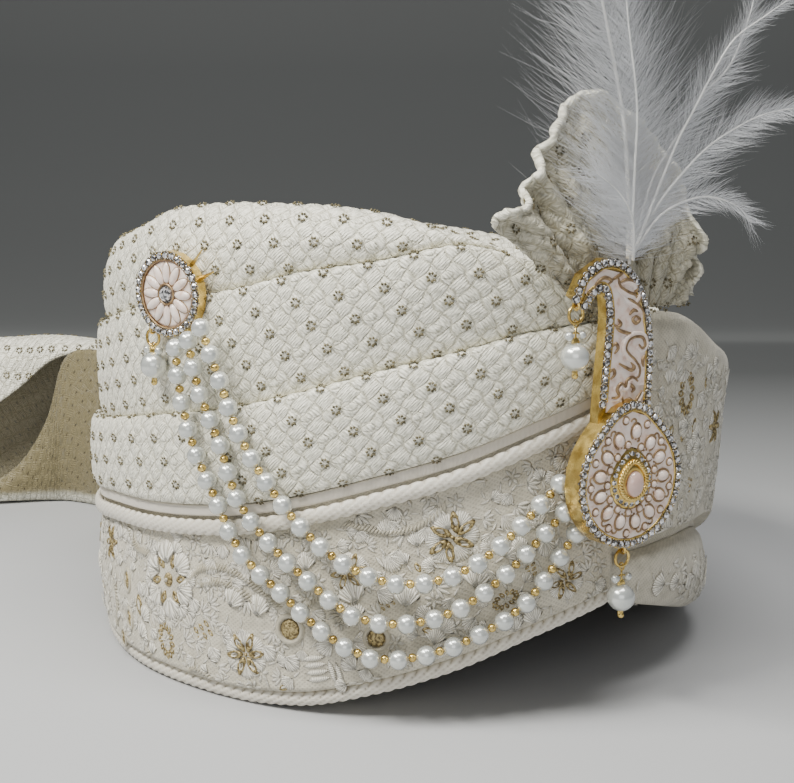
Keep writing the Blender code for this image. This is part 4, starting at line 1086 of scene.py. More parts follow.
MOTIF_PARTS = {
    "star": (Part("gold_loops", 6, 0.32, 0, 0.52, 0.24, 0.40),
             Part("white_fans", 6, 0.20, 30, 0.42, 0.32, 0.18),
             Part("gold_beads", 1, 0, None, 0.10, 0.10, 0.10)),
    "flower": (Part("gold_discs", 1, 0, None, 0.45, 0.45, 0, 0, 0.0020),
               Part("white_beads", 1, 0, None, 0.14, 0.14, 0.14, 0.09 / 1.1),
               Part("gold_loops", 6, 0.64, 12, 0.50, 0.27, 0.36),
               Part("white_fans", 6, 0.50, 42, 0.80, 0.56, 0.40),
               Part("white_fans", 6, 0.92, 12, 0.45, 0.38, 0.28)),
    "eyelet": (Part("white_rings", 1, 0, 0, 1.50, 0.95, 1.2), Part("gold_discs", 1, 0, 0, 1.0, 0.46, 0.26),
               Part("white_leaves", 1, 0, 0, 0.3, 0.12, 0.12, 0.1)),
    "oval": (Part("gold_loops", 1, 0, 0, 1.0, 0.56, 0.32),
             Part("white_leaves", 1, -0.35, 0, 0.7, 0.26, 0.26)),
    "loop_ring": (Part("white_leaves", 5, 0.03, 0, 0.24, 0.10, 0.10),),
    "leaf_marks": (),
    "ring_dot": (Part("white_rings", 1, 0, 0, 1.0, 1.0, 1.3),
                 Part("gold_discs", 1, 0, 0, 0.64, 0.64, 0, 0, 0.0026),
                 Part("gold_beads", 9, 0.24, 0, 0.13, 0.13, 0.13)),
    "fan": (Part("white_fans", 1, 0, 0, 1.0, 0.62, 0.62), Part("gold_loops", 1, 0.36, 0, 0.42, 0.15, 0.5)),
    "bars": (),
}
WORK_SHAPES = {
    "white_fans": (FAN_PETAL, WHITE_YARN), "white_leaves": (LEAF, WHITE_YARN),
               "white_rings": (RING, WHITE_YARN),
    "white_beads": (SMALL_BALL, WHITE_YARN), "white_stitches": (STITCH, WHITE_YARN),
    "gold_loops": (LOOP, GOLD_PURL), "gold_discs": (DISC, GOLD_PURL), "gold_beads": (SMALL_BALL, GOLD_PURL),
}
MOTIF_ROOM = {"star": 0.62, "flower": 1.30, "eyelet": 0.8, "oval": 0.7, "loop_ring": 0.60, "leaf_marks": 0.7,
              "ring_dot": 0.62, "fan": 0.6, "bars": 0.62}
REPEATS = (0.0, 92.0, 184.0)
GARLANDS = (
    ((76.0, 0.56), (73.3, 0.65), (69.0, 0.67), (65.1, 0.64), (60.5, 0.55), (57.5, 0.47)),
    ((72.5, 0.58), (68.5, 0.60), (64.8, 0.56), (61.0, 0.48)),
    ((102.0, 0.95), (96.0, 0.84), (91.0, 0.70), (86.5, 0.68)),
    ((47.0, 0.82), (41.0, 0.74), (36.0, 0.72), (31.0, 0.78)),
    ((54.0, 0.47), (50.0, 0.52), (48.0, 0.40), (45.0, 0.36)),
    ((100.0, 0.45), (98.0, 0.30), (98.5, 0.14)),
    ((86.0, 0.12), (80.0, 0.07), (74.0, 0.12), (68.0, 0.09)),
)


def leaning(across, upward, lean):
    """A step across and up, turned by a lean in degrees."""
    way = math.radians(lean)
    return across * math.cos(way) - upward * math.sin(way), across * math.sin(way) + upward * math.cos(way)


class Needlework:
    """Raised work gathered for one face of cloth and set out finish by finish."""

    def __init__(self, name, face, low, high):
        self.name = name
        self.face = face
        self.low, self.high = low, high
        self.work = {}
        self.taken = []

    def sew(self, kind, along, up, length, width, turn=0.0, rise=None, lift=0.0):
        """One raised part at a spot; its length runs at a turn, in degrees, from the way right."""
        edge = np.interp(along, self.face.along, self.face.up[:, -1]) - self.high
        tip = up + length * math.sin(math.radians(turn))
        spot = self.face.at(along, up) if self.low < min(up, tip) and max(up, tip) < edge else None
        if spot is None:
            return
        place, right, upward, normal = spot
        turn = math.radians(turn)
        way = right * math.cos(turn) + upward * math.sin(turn)
        size = (length, width, width if rise is None else rise)
        self.work.setdefault(kind, []).append((place + normal * lift, way, np.cross(normal, way), normal,
                                               size))

    def polar(self, kind, centre, reach, bearing, length, width, rise=None, lift=0.0):
        """A part at a reach and a bearing from a motif's centre."""
        way = math.radians(bearing)
        self.sew(kind, centre[0] - reach * math.cos(way), centre[1] + reach * math.sin(way), length, width,
                 bearing, rise, lift)

    def motif(self, kind, centre, size, turn):
        """One motif, from the table's parts in shares of its size and from what is its own."""
        for part in MOTIF_PARTS[kind]:
            for number in range(part.count):
                bearing = 0.0 if part.shift is None else turn + part.shift + 360 * number / part.count
                self.polar(part.kind, centre, part.reach * size, bearing, part.length * size,
                           part.width * size,
                           part.deep or part.rise * size, part.lift * size)
        if kind == "loop_ring":
            self.loop_ring(centre, size, turn)
        elif kind == "leaf_marks":
            self.leaf_marks(centre, size, turn)
        elif kind == "bars":
            self.bars(centre, size, turn)
        self.taken.append((*centre, size * MOTIF_ROOM[kind]))

    def loop_ring(self, centre, size, turn):
        """Small gold loops that stand out all round an oval."""
        for number in range(13):
            way = 2 * math.pi * number / 13
            right, upward = leaning(size * 0.41 * math.cos(way), size * 0.25 * math.sin(way), turn)
            self.sew("gold_loops", centre[0] - right, centre[1] + upward, size * 0.26, size * 0.17,
                     math.degrees(math.atan2(upward, right)), size * 0.15)

    def leaf_marks(self, centre, size, turn):
        """Two slanting rows of small gold leaves."""
        for row in (-1, 1):
            for number in (-1, 0, 1):
                right, upward = leaning(number * size * 0.34, row * size * 0.20, turn)
                self.sew("gold_loops", centre[0] - right, centre[1] + upward, size * 0.38, size * 0.20,
                         turn - 75,
                         size * 0.15)

    def bars(self, centre, size, turn):
        """Nested white bars that turn a corner."""
        for number in range(4):
            inset = size * 0.16 * number
            level = (centre[0] + size * 0.5 - inset * 0.3, centre[1] + size * 0.35 - inset)
            steep = (centre[0] - size * 0.14 - inset, centre[1] + size * 0.32 - inset * 0.5)
            self.polar("white_leaves", level, 0, turn, size * 0.62, size * 0.15)
            self.polar("white_leaves", steep, 0, turn - 90, size * 0.62, size * 0.15)

    def garland(self, line):
        """A raised white cord along a line on the face, laid stitch by stitch."""
        line = spline_points(line, 12)
        line = spaced(line, max(4, int(lengths_along(line)[-1] / 0.0012)))
        for before, after in zip(line, line[1:]):
            bearing = math.degrees(math.atan2(after[1] - before[1], before[0] - after[0]))
            self.sew("white_stitches", *before, 0.0048, 0.0032, bearing + 48, 0.0052)

    def fill(self, pitch, seed):
        """White fans and leaves wherever no motif lies."""
        draw = np.random.default_rng(seed)
        low, high = self.face.along[[0, -1]]
        top = self.face.up.max()
        taken = np.array(self.taken) if self.taken else np.zeros((1, 3))
        for row in range(int(top / (pitch * 0.82))):
            for column in range(int((high - low) / pitch)):
                along = low + (column + 0.5 * (row % 2) + draw.uniform(0.2, 0.8)) * pitch
                up = (row + draw.uniform(0.25, 0.75)) * pitch * 0.82
                kind, size, turn = draw.uniform(), draw.uniform(0.7, 1.15), draw.uniform(0, 360)
                if (np.hypot(along - taken[:, 0], up - taken[:, 1]) < taken[:, 2] * 0.86).any():
                    continue
                spot = (along, up)
                if kind < 0.50:
                    self.polar("white_fans", spot, 0, turn, pitch * 0.95 * size, pitch * 0.62 * size,
                               pitch * 0.42)
                    self.polar("white_leaves", spot, 0, turn + 180, pitch * 0.6, pitch * 0.16)
                elif kind < 0.82:
                    for spin in (-56, -28, 0, 28, 56):
                        self.polar("white_leaves", spot, pitch * 0.05, turn + spin, pitch * 0.80 * size,
                                   pitch * 0.25, pitch * 0.2)
                    self.polar("white_leaves", spot, 0, turn + 180, pitch * 0.6, pitch * 0.14)
                else:
                    for spin in range(0, 360, 60):
                        self.polar("white_leaves", spot, pitch * 0.07, turn + spin, pitch * 0.46,
                                   pitch * 0.24)

    def finish(self, slot):
        """Sets out everything gathered."""
        for kind, (shape, material) in WORK_SHAPES.items():
            if self.work.get(kind):
                finished(set_out(f"{self.name}_{kind}", shape, self.work[kind], material), slot)


def share_up(face, angle, share):
    """The way along a face and up it at an angle and a share of its height."""
    along = float(length_round(angle))
    column = int(round(np.interp(along, face.along, np.arange(len(face.along)))))
    rises = face.points[column, :, 2]
    height = height_at("hem", angle) + share * (height_at("border", angle) - height_at("hem", angle))
    return along, float(np.interp(height, rises, face.up[column]))


def embroider_border(face):
    """The border's motifs: as the photograph shows them, then the same work round the back."""
    work = Needlework("border", face, 0.0122, 0.0125)
    for shift in REPEATS:
        for motif in NEEDLEWORK:
            if shift and not 12 < motif.angle < 105:
                continue
            centre = share_up(face, motif.angle + shift, motif.share)
            work.motif(motif.kind, centre, motif.size, motif.turn)
        for line in GARLANDS:
            work.garland([share_up(face, angle + shift, share) for angle, share in line])
    work.fill(0.0062, 71)
    work.finish("embroidery")


def embroider_roll(face):
    """White work on the rolled turn."""
    work = Needlework("roll", face, 0.0100, 0.0080)
    work.fill(0.0076, 72)
    work.finish("embroidery")


# Tape and braids

def strip_centre(angles, kind):
    """The middle line of the tape, the braid or the hem: setback and height."""
    if kind == "hem":
        return (border_setback(angles, "low") + HEM_STEP - 0.0003 - HEM_BRAID_SIZE / 2,
                height_at("hem", angles) + HEM_BRAID_SIZE / 2)
    below = TAPE_HEIGHT / 2 if kind == "tape" else TAPE_HEIGHT + BRAID_HEIGHT / 2 + 0.0009
    thick = TAPE_THICKNESS if kind == "tape" else BRAID_THICKNESS
    return border_setback(angles, "high") - 0.0003 - thick / 2, height_at("border", angles) - 0.0003 - below


BRAID_END = 282.0
HEM_END = 264.0
ROPE_SIDES = 22
TAPE_SIDES = 12


def make_rope(name, node, kind, last, width, height, pitch, slant, depth):
    """A twisted cord: strands that cross its face at a slant, with grooves between."""
    angles = turn_angles(START, last, pitch / 8)
    along = length_round(angles)
    setback, middle = strip_centre(angles, kind)
    turn = 2 * math.pi * np.arange(ROPE_SIDES + 1) / ROPE_SIDES
    facing = np.sin(turn) + 0.22 * np.sin(2 * turn + 0.6)
    groove = np.abs(np.sin(math.pi * (along[:, None] / pitch + slant * facing))) ** 0.45
    reach = 1 - depth * (1 - groove)
    points = on_turban(angles[:, None], setback[:, None] - width / 2 * reach * np.cos(turn),
                       middle[:, None] + height / 2 * (0.35 + 0.65 * reach) * np.sin(turn))
    uv = tube_uv(along, turn * height / 2)
    uv[..., 0] += facing * slant * pitch
    finished(tube_piece(name, points[:, :-1], uv, ROPE, {"relief": groove[:, :-1]}), "braid", node)


def make_tape():
    """The flat satin tape that lies along the top of the braid."""
    angles = turn_angles(START, BRAID_END)[::2]
    setback, middle = strip_centre(angles, "tape")
    along = length_round(angles)
    turn = 2 * math.pi * np.arange(TAPE_SIDES + 1) / TAPE_SIDES
    flat = np.sign(np.cos(turn)) * np.abs(np.cos(turn)) ** 0.5
    tall = np.sign(np.sin(turn)) * np.abs(np.sin(turn)) ** 0.6
    slack = 0.0001 * ripple(along * 60, seed=8)
    points = on_turban(angles[:, None], setback[:, None] - TAPE_THICKNESS / 2 * flat,
                       (middle + slack)[:, None] + TAPE_HEIGHT / 2 * tall)
    piece = tube_piece("satin_tape_cloth", points[:, :-1], tube_uv(along, turn * 0.001), SATIN)
    finished(piece, "satin", "satin_tape")


# The crown

DOME_HALF_WIDTH = 0.082
DOME_HALF_LENGTH = 0.101


def make_crown():
    """The dome of cloth over the head, in soft gathers, with its lining."""
    steps = 240
    angles = FRONT_JOINT + FULL_TURN * np.arange(steps + 1) / steps
    edge = height_at("crown", angles)
    foot = height_at("foot", angles) + 0.0005
    centre = edge.max() + 0.006
    walls = []
    for inset, depth in ((0.0, 1.0), (0.003, 0.4)):
        width, length = DOME_HALF_WIDTH - inset, DOME_HALF_LENGTH - inset
        out = [(width, length, foot), (width, length, edge - 0.015)]
        for share in (np.linspace(0, 0.985, 26) ** 0.7)[::-1]:
            gathers = 0.0010 * (1 - share) ** 0.3 * share * np.sin(np.radians(angles) * 34) * depth
            out.append((width * share, length * share,
                        centre + (edge - centre) * share ** 2 - inset + gathers))
        walls.append(np.stack([on_oval(angles, *ring) for ring in out], 1))
    section = np.concatenate([walls[0], walls[1][:, ::-1]], 1)
    count = steps * section.shape[1]
    faces = grid_faces(steps + 1, section.shape[1])
    faces = np.where(faces >= count, faces - count, faces)
    piece = make_piece("crown_dome", section.reshape(-1, 3)[:count], faces.tolist(), LINING)
    finished(close_seams(piece), "crown_lining", "crown_cloth")


# The fan

Pleat = namedtuple("Pleat", "bearing reach")
FAN_EDGE = tuple(Pleat(*row) for row in (
    (-48, 0.36),
    (-34, 0.51),
    (-20, 0.72),
    (-8, 0.90),
    (5, 1.02),
    (17, 1.00),
    (27, 0.91),
    (38, 0.84),
    (50, 0.87),
))
FAN_REACH = 0.088
FAN_RIGHT = -48.0
FAN_LEFT = 50.0
FAN_ROOT_ACROSS = 0.0020
FAN_ROOT_HEIGHT = 0.690 * TURBAN_HEIGHT
FAN_ROOT_RISE = 0.0185
FAN_LEAN = 0.0300
FAN_ROOT_DEPTH = -(TURBAN_LENGTH / 2 - MIDDLE_SETBACK + 0.0015)
FAN_CLEAR_HEIGHT = 0.155
FAN_PLEATS = 8.0
FAN_CLOTH = 0.0011
FAN_ROLL = 0.0007


def make_fan():
    """The pleated cockade of stiff brocade, crinkled, with a rolled edge."""
    columns, rows = 210, 76
    bearing = np.linspace(FAN_RIGHT, FAN_LEFT, columns)[:, None]
    share = np.linspace(0, 1, rows)[None, :]
    turn = np.radians(bearing)
    full = FAN_REACH * table_value(FAN_EDGE, "reach", bearing)
    root = FAN_ROOT_RISE / np.cos(turn)
    pleats = (FAN_LEFT - bearing) / (FAN_LEFT - FAN_RIGHT) * FAN_PLEATS
    wander = pleats + 0.16 * np.sin(2.3 * pleats + 3.0 * share) * share
    wave = np.cos(2 * math.pi * wander)
    scallop = 1 - 0.006 * (1 - wave[:, -1:]) + 0.034 * ripple(bearing * 0.22, seed=23, octaves=6)
    reach = root + (full * (0.985 * scallop) - root) * share
    deep = 0.0004 + 0.0026 * share ** 1.2 * (1 + 0.5 * ripple(bearing * 0.06, share * 2.0, seed=25))
    crinkle = 0.0022 * smooth_step(0.05, 0.5, share) * ripple(bearing * 0.30, share * 9.0, seed=21, octaves=6)
    curl = smooth_step(0.90, 1.0, share)
    out = deep * wave + crinkle - 0.0030 * curl ** 1.5
    x = FAN_ROOT_ACROSS - reach * np.sin(turn)
    z = FAN_ROOT_HEIGHT + reach * np.cos(turn)
    y = FAN_ROOT_DEPTH + out + FAN_LEAN * np.maximum(0.0, z - FAN_CLEAR_HEIGHT) / FAN_REACH
    points = np.stack([x, y, z], -1)
    along = lengths_along(points[:, rows // 2])
    up = share * (full - root) + 0 * along[:, None]
    relief = brocade_relief(along[:, None], up)
    normals = grid_normals(points)
    rolled = np.sqrt(np.clip(1 - ((1 - share - 0.020) / 0.020) ** 2, 0, 1))
    thick = FAN_CLOTH / 2 + FAN_ROLL * rolled + 0 * along[:, None]
    thick = thick * (1 + 0.35 * ripple(bearing * 0.9, share * 30.0, seed=27))
    front = points + normals * (thick + relief * 0.0004)[..., None]
    behind = points - normals * thick[..., None]
    section = np.concatenate([front, behind[:, ::-1]], 1)
    uv = tube_uv(along, up, up[:, ::-1], up[:, :1])
    # Painted shade: the fan's front face takes much of the dark reverse colour, less on its rolled edge, and
    # its back face a little.
    shaded = np.concatenate([0.50 * (1 - curl) + 0.08 + 0 * front[..., 0], 0.15 + 0 * front[..., 0]], 1)
    piece = tube_piece("fan_cloth", section, uv, BROCADE, {"reverse": shaded}, sheet=True)
    middle = points[1:, 1:] - points[:-1, :-1]
    other = points[:-1, 1:] - points[1:, :-1]
    area = float(np.linalg.norm(np.cross(middle, other), axis=-1).sum() / 2)
    finished(piece, "brocade", "cockade_fan")
    return piece, Face(front, along, up), Face(behind[:, ::-1], along, up[:, ::-1]), area


# The tail

TAIL_HEIGHT = 0.082
TAIL_WIDTH = 0.030
TAIL_CLOTH = 0.0024
TAIL_WORK_START = 0.080
TAIL_WORK_FOOT = 0.004
Fold = namedtuple("Fold", "across along width height front lip")
TAIL = tuple(Fold(*row) for row in (
    (0.000, 0.0000, 0.72, 0.90, 0.96, 0.02),
    (-0.002, 0.0450, 0.86, 0.97, 0.98, 0.02),
    (-0.008, 0.0900, 0.96, 1.00, 0.97, 0.03),
    (-0.018, 0.1200, 1.00, 1.00, 0.90, 0.05),
    (-0.031, 0.1340, 1.02, 1.01, 0.50, 0.12),
    (-0.046, 0.1430, 1.08, 1.00, 0.24, 0.27),
    (-0.062, 0.1520, 1.14, 0.99, 0.12, 0.39),
    (-0.088, 0.1660, 1.20, 0.96, 0.08, 0.42),
    (-0.118, 0.1840, 1.24, 0.92, 0.08, 0.40),
))


def make_tail():
    """The free end of the cloth: a standing roll that opens towards the wearer's right."""
    route = np.array([(row.across, TURBAN_LENGTH / 2 + 0.0003 + row.along, 0.0) for row in TAIL])
    sections = []
    for index, (row, place) in enumerate(zip(TAIL, route)):
        heading = unit(route[min(index + 1, len(route) - 1)] - route[max(index - 1, 0)])
        open_side = np.array([-heading[1], heading[0], 0.0])
        width, height = TAIL_WIDTH * row.width, TAIL_HEIGHT * row.height
        front, lip, floor = height * row.front, height * row.lip, TAIL_CLOTH / 2 + 0.0003
        shape = ((width * 0.62, max(front, floor * 3)), (width * 0.66, max(front * 0.5, floor * 2)),
                 (width * 0.50, floor), (-width * 0.20, floor), (-width * 0.40, height * 0.45),
                 (-width * 0.30, height * 0.88), (width * 0.02, height - floor),
                 (width * 0.34, height - floor - lip * 0.3), (width * 0.46, height - floor * 2 - lip))
        sections.append([place + open_side * out + np.array([0, 0, up]) for out, up in shape])
    controls = np.array(sections)
    along_route = spline_points(controls.reshape(len(TAIL), -1), 12).reshape(-1, 9, 3)
    rows, columns = 96, 140
    lines = np.stack([spaced(spline_points(line, 12), rows) for line in along_route])
    grid = np.stack([spaced(lines[:, row], columns) for row in range(rows)], 1)
    length = lengths_along(grid[:, rows // 2])
    around = np.stack([lengths_along(line) for line in grid])
    normals = grid_normals(grid)
    drape = 0.0006 * ripple(length[:, None] * 45, around * 60, seed=31)
    grid = grid + normals * (drape * smooth_step(0.002, 0.012, grid[..., 2] - 0.001))[..., None]
    relief = brocade_relief(length[:, None], around)
    outside = grid - normals * 0.0009
    inside = grid + normals * (0.0009 + relief * 0.0003)[..., None]
    lift = smooth_step(0.0, 0.004, outside[..., 2])
    outside = outside - normals * (relief * lift * 0.0004)[..., None]
    outside[..., 2] = np.maximum(outside[..., 2], 0.0003)
    inside[..., 2] = np.maximum(inside[..., 2], 0.0015)
    section = np.concatenate([outside[:, ::-1], inside], 1)
    uv = tube_uv(length, around[:, ::-1], around, around[:, -1:])
    reached = np.maximum.accumulate(grid[..., 2] < 0.0035, axis=1)
    front_wall = (1.0 - reached) * smooth_step(0.0035, 0.0075, grid[..., 2])
    wrong_side = np.concatenate([front_wall[:, ::-1], np.full((columns, rows), 0.86)], 1)
    piece = tube_piece("tail_cloth", section, uv, BROCADE, {"reverse": wrong_side}, sheet=True)
    outer = Face(outside[:, ::-1], length, around[:, ::-1])
    return piece, outer, float(around[:, -1].mean()), float(length[-1])


# The strings of pearls

PEARL_SIZE = 0.0065
PEARL_PITCH = 0.0092
PEARL_CLEARANCE = 0.00035
SPACER_SIZE = 0.0031
PEARL_ROUTES = {
    "pearl_string_1": ((69.3, 0.762), (66.2, 0.666), (63.0, 0.563), (58.4, 0.472), (52.8, 0.387),
                       (46.5, 0.322), (38.8, 0.288), (30.6, 0.305), (23.5, 0.364), (14.5, 0.478)),
    "pearl_string_2": ((71.9, 0.734), (69.9, 0.633), (66.2, 0.535), (63.3, 0.429), (57.9, 0.348),
                       (51.5, 0.279), (44.9, 0.218), (36.9, 0.210), (29.4, 0.242), (22.8, 0.306),
                       (13.7, 0.421)),
    "pearl_string_3": ((74.6, 0.716), (73.6, 0.615), (71.0, 0.514), (66.9, 0.417), (62.8, 0.321),
                       (56.1, 0.252), (49.9, 0.185), (42.6, 0.138), (34.5, 0.148), (26.9, 0.187),
                       (19.5, 0.248), (11.8, 0.377)),
}
PLAIN_WAYS = (np.array([1.0, 0, 0]), np.array([0, 1.0, 0]), np.array([0, 0, 1.0]))


def ways_along(along, outward):
    """Three crossing ways, the third along a line."""
    along = unit(along)
    side = unit(np.cross(outward, along))
    return side, np.cross(along, side), along


def join_pieces(name, pieces):
    """One mesh piece made of several of the same finish."""
    points, faces, uv = [], [], []
    has_uv = all(piece.data.uv_layers for piece in pieces)
    for piece in pieces:
        first = len(points)
        points += [vertex.co - Vector(AXIS) for vertex in piece.data.vertices]
        faces += [[first + corner for corner in face.vertices] for face in piece.data.polygons]
        if has_uv:
            uv += [corner.uv[:] for corner in piece.data.uv_layers[0].data]
    smooth = pieces[0].data.polygons[0].use_smooth
    material = pieces[0].data.materials[0]
    for piece in pieces:
        bpy.data.objects.remove(piece)
    return make_piece(name, points, faces, material, uv if has_uv else None, None, smooth)


def wire_piece(name, path, radius, material, sides=8, closed=False, sway=(0.0, 0.0, 1.0)):
    """A wire along a path, of one radius or one for each point."""
    path = np.asarray(path, float)
    if closed:
        ways = unit(np.roll(path, -1, 0) - np.roll(path, 1, 0))
    else:
        ways = unit(np.gradient(path, axis=0))
    sway = np.array(sway)
    side = unit(np.cross(ways, sway + 0.001))
    other = np.cross(side, ways)
    turn = 2 * math.pi * np.arange(sides) / sides
    radius = np.broadcast_to(radius, (len(path),))[:, None, None]
    ring = side[:, None] * np.cos(turn)[None, :, None] + other[:, None] * np.sin(turn)[None, :, None]
    points = path[:, None] + ring * radius
    if closed:
        points = np.concatenate([points, points[:1]])
        faces = grid_faces(len(points), sides)
        count = len(path) * sides
        piece = make_piece(name, points.reshape(-1, 3)[:count], (faces % count).tolist(), material)
    else:
        piece = tube_piece(name, points, tube_uv(lengths_along(path), np.arange(sides + 1) * 0.001), material)
    return close_seams(piece, outward=True)


def make_pearl_strings():
    """Three strings of pearls with gold beads between, on their thread."""
    standoff = PEARL_SIZE / 2 + PEARL_CLEARANCE
    for number, (node, route) in enumerate(PEARL_ROUTES.items(), 1):
        angles, shares = np.array(route).T
        curve = spline_points(on_turban(angles, -standoff, shares * TURBAN_HEIGHT), 12)
        count = max(2, round(lengths_along(curve)[-1] / PEARL_PITCH) + 1)
        centres = spaced(curve, count)
        middles = (centres[1:] + centres[:-1]) / 2
        ways = unit(np.diff(centres, axis=0))
        draw = np.random.default_rng(50 + number)
        pearls = [(centre, *PLAIN_WAYS, PEARL_SIZE * draw.uniform(0.985, 1.012)) for centre in centres]
        spacers = [(middle, *ways_along(way, middle * (1, 1, 0)),
                    (SPACER_SIZE, SPACER_SIZE, SPACER_SIZE * 0.86))
                   for middle, way in zip(middles, ways)]
        string = set_out(f"string_{number}_pearls", BALL, pearls, PEARL)
        gold = set_out(f"string_{number}_gold_beads", SMALL_BALL, spacers, GOLD_METAL)
        thread = wire_piece(f"string_{number}_thread", spaced(curve, count * 3), 0.00035, WHITE_YARN, 6)
        finished(string, "pearl", node)
        finished(gold, "gold_metal")
        finished(thread, "satin")


# Jewels, in their own frame: x across, z up, the front towards -y

KALGI_HEIGHT = 0.0925
KALGI_BASE_SIZE = 0.0450
KALGI_STEM_DEPTH = 0.0038
KALGI_BASE_DEPTH = 0.0068
KALGI_STANDOFF = 0.0046
STONE_RIM = 0.0030
ENAMEL_RECESS = 0.0014
ENAMEL_THICKNESS = 0.0012
BEZEL_SIZE = 0.0124
EYE_SIZE = 0.0036
RING_SIZE = 0.0066
RING_WIRE = 0.0010
DROP_PEARL = 0.0092
DROP_NECK = 0.0058
STONE_PITCH = 0.0027
BASE_BOSSES = 13
KALGI_PLACE = np.array([-0.0113, -(TURBAN_LENGTH / 2 + KALGI_STANDOFF), 0.482 * TURBAN_HEIGHT])
Stem = namedtuple("Stem", "across up width")
STEM = tuple(Stem(*row) for row in (
    (-0.010, 0.190, 0.240),
    (-0.004, 0.292, 0.238),
    (0.002, 0.390, 0.232),
    (0.005, 0.490, 0.220),
    (-0.008, 0.600, 0.190),
    (-0.050, 0.685, 0.152),
    (-0.112, 0.712, 0.116),
    (-0.176, 0.684, 0.096),
    (-0.214, 0.628, 0.076),
))


def oval_line(across, up, depth, steps=96):
    """A closed oval line in a jewel's face, with these half sizes."""
    turn = 2 * math.pi * np.arange(steps) / steps
    return np.stack([across * np.sin(turn), np.full(steps, depth), up * np.cos(turn)], -1)


def teardrop(size, depth, steps=96, start=0.0):
    """A closed line that is round below and comes to a soft point above."""
    turn = 2 * math.pi * np.arange(steps) / steps + start
    reach = size / 2 * (0.97 + 0.20 * np.maximum(0, np.cos(turn)) ** 10)
    return np.stack([reach * np.sin(turn), np.full(steps, depth), reach * np.cos(turn)], -1)


def stem_edge(side, inset, depth, first=0.0):
    """A line along one side of the stem, drawn in by an inset; side is -1, 1, or 0 for the middle."""
    rows = np.array(STEM) * KALGI_HEIGHT
    curve = spline_points(rows, 12)
    curve = curve[int(first * 12):]
    middle = np.stack([curve[:, 0], np.full(len(curve), depth), curve[:, 1]], -1)
    ways = unit(np.gradient(middle, axis=0))
    across = np.stack([ways[:, 2], np.zeros(len(ways)), -ways[:, 0]], -1)
    return middle + across * (curve[:, 2:3] / 2 - inset) * side


class Jewel:
    """A place on the turban where a jewel is pinned, and the way it faces."""

    def __init__(self, name, place, facing):
        self.name = name
        self.place = place
        turn = math.radians(facing)
        self.right = np.array([math.cos(turn), -math.sin(turn), 0.0])
        self.up = np.array([0, 0, 1.0])
        self.out = np.array([-math.sin(turn), -math.cos(turn), 0.0])

    def put(self, points):
        """Points of the jewel's own frame, on the turban."""
        points = np.asarray(points, float)
        return (self.place + points[..., :1] * self.right - points[..., 1:2] * self.out
                + points[..., 2:3] * self.up)

    def wire(self, label, path, radius, material, sides=8, closed=False):
        """A wire of the jewel."""
        return wire_piece(f"{self.name}_{label}", self.put(path), radius, material, sides, closed, self.out)

    def set_out(self, label, shape, places, sizes, material, turns=0.0):
        """Repeated small parts, each with its own turn in the jewel's face."""
        spots = []
        turns = np.broadcast_to(turns, len(places))
        for place, size, turn in zip(places, np.broadcast_to(sizes, (len(places), 3)), turns):
            right = self.right * math.cos(turn) + self.up * math.sin(turn)
            spots.append((self.put(place), right, np.cross(self.out, right), self.out, tuple(size)))
        return set_out(f"{self.name}_{label}", shape, spots, material)


def stone_shape():
    """A cut stone with a table and two rows of facets, one wide."""
    sides = 8
    points, faces = [(0, 0, -0.30)], []
    for radius, height, shift in ((0.5, 0.0, 0), (0.5, 0.05, 0), (0.40, 0.20, 0.5), (0.26, 0.28, 0)):
        for side in range(sides):
            turn = 2 * math.pi * (side + shift) / sides
            points.append((radius * math.cos(turn), radius * math.sin(turn), height))
    for side in range(sides):
        after = (side + 1) % sides
        faces.append((0, 1 + after, 1 + side))
        faces.append((1 + side, 1 + after, 9 + after, 9 + side))
        faces.append((9 + side, 9 + after, 17 + side))
        faces.append((17 + side, 9 + after, 17 + after))
        faces.append((17 + side, 25 + after, 25 + side))
        faces.append((17 + side, 17 + after, 25 + after))
    faces.append(tuple(25 + side for side in range(sides)))
    return pattern_shape("stone_shape", points, faces, smooth=False)


CUT_STONE = stone_shape()
CUP = turned_shape("cup_shape",
                   [(0, -0.35), (0.52, -0.34), (0.58, 0.02), (0.50, 0.06), (0.46, -0.05), (0, -0.06)], 8)
OVAL_BOSS = turned_shape("boss_shape",
                         [(0, -0.2), (0.5, -0.15), (0.5, 0.05), (0.40, 0.26), (0.22, 0.38), (0, 0.42)], 12)


def rhinestones(jewel, label, places, size):
    """A row of clear stones in bright cups, with a claw between neighbours."""
    places = np.asarray(places)
    stones = jewel.set_out(label + "_stones", CUT_STONE, places + (0, -0.00035, 0), size * 0.86, CLEAR_STONE,
                           np.arange(len(places)) * 0.7)
    cups = jewel.set_out(label + "_cups", CUP, places, size, SILVER)
    claws = (places + np.roll(places, 1, 0)) / 2
    close = np.linalg.norm(places - np.roll(places, 1, 0), axis=1) < size * 1.8
    sideways = unit(np.cross(places - np.roll(places, 1, 0), (0, 1.0, 0))) * size * 0.36
    claws = np.concatenate([claws[close] + sideways[close], claws[close] - sideways[close]])
    beads = jewel.set_out(label + "_claws", SMALL_BALL, claws + (0, -0.0005, 0), size * 0.26, SILVER)
    for piece in (stones, cups, beads):
        finished(piece, "gold_metal")


def along_line(line, pitch, closed=False):
    """Places at an even pitch along a line."""
    line = np.concatenate([line, line[:1]]) if closed else line
    count = max(2, round(lengths_along(line)[-1] / pitch))
    places = spaced(line, count + 1)
    return places[:-1] if closed else places


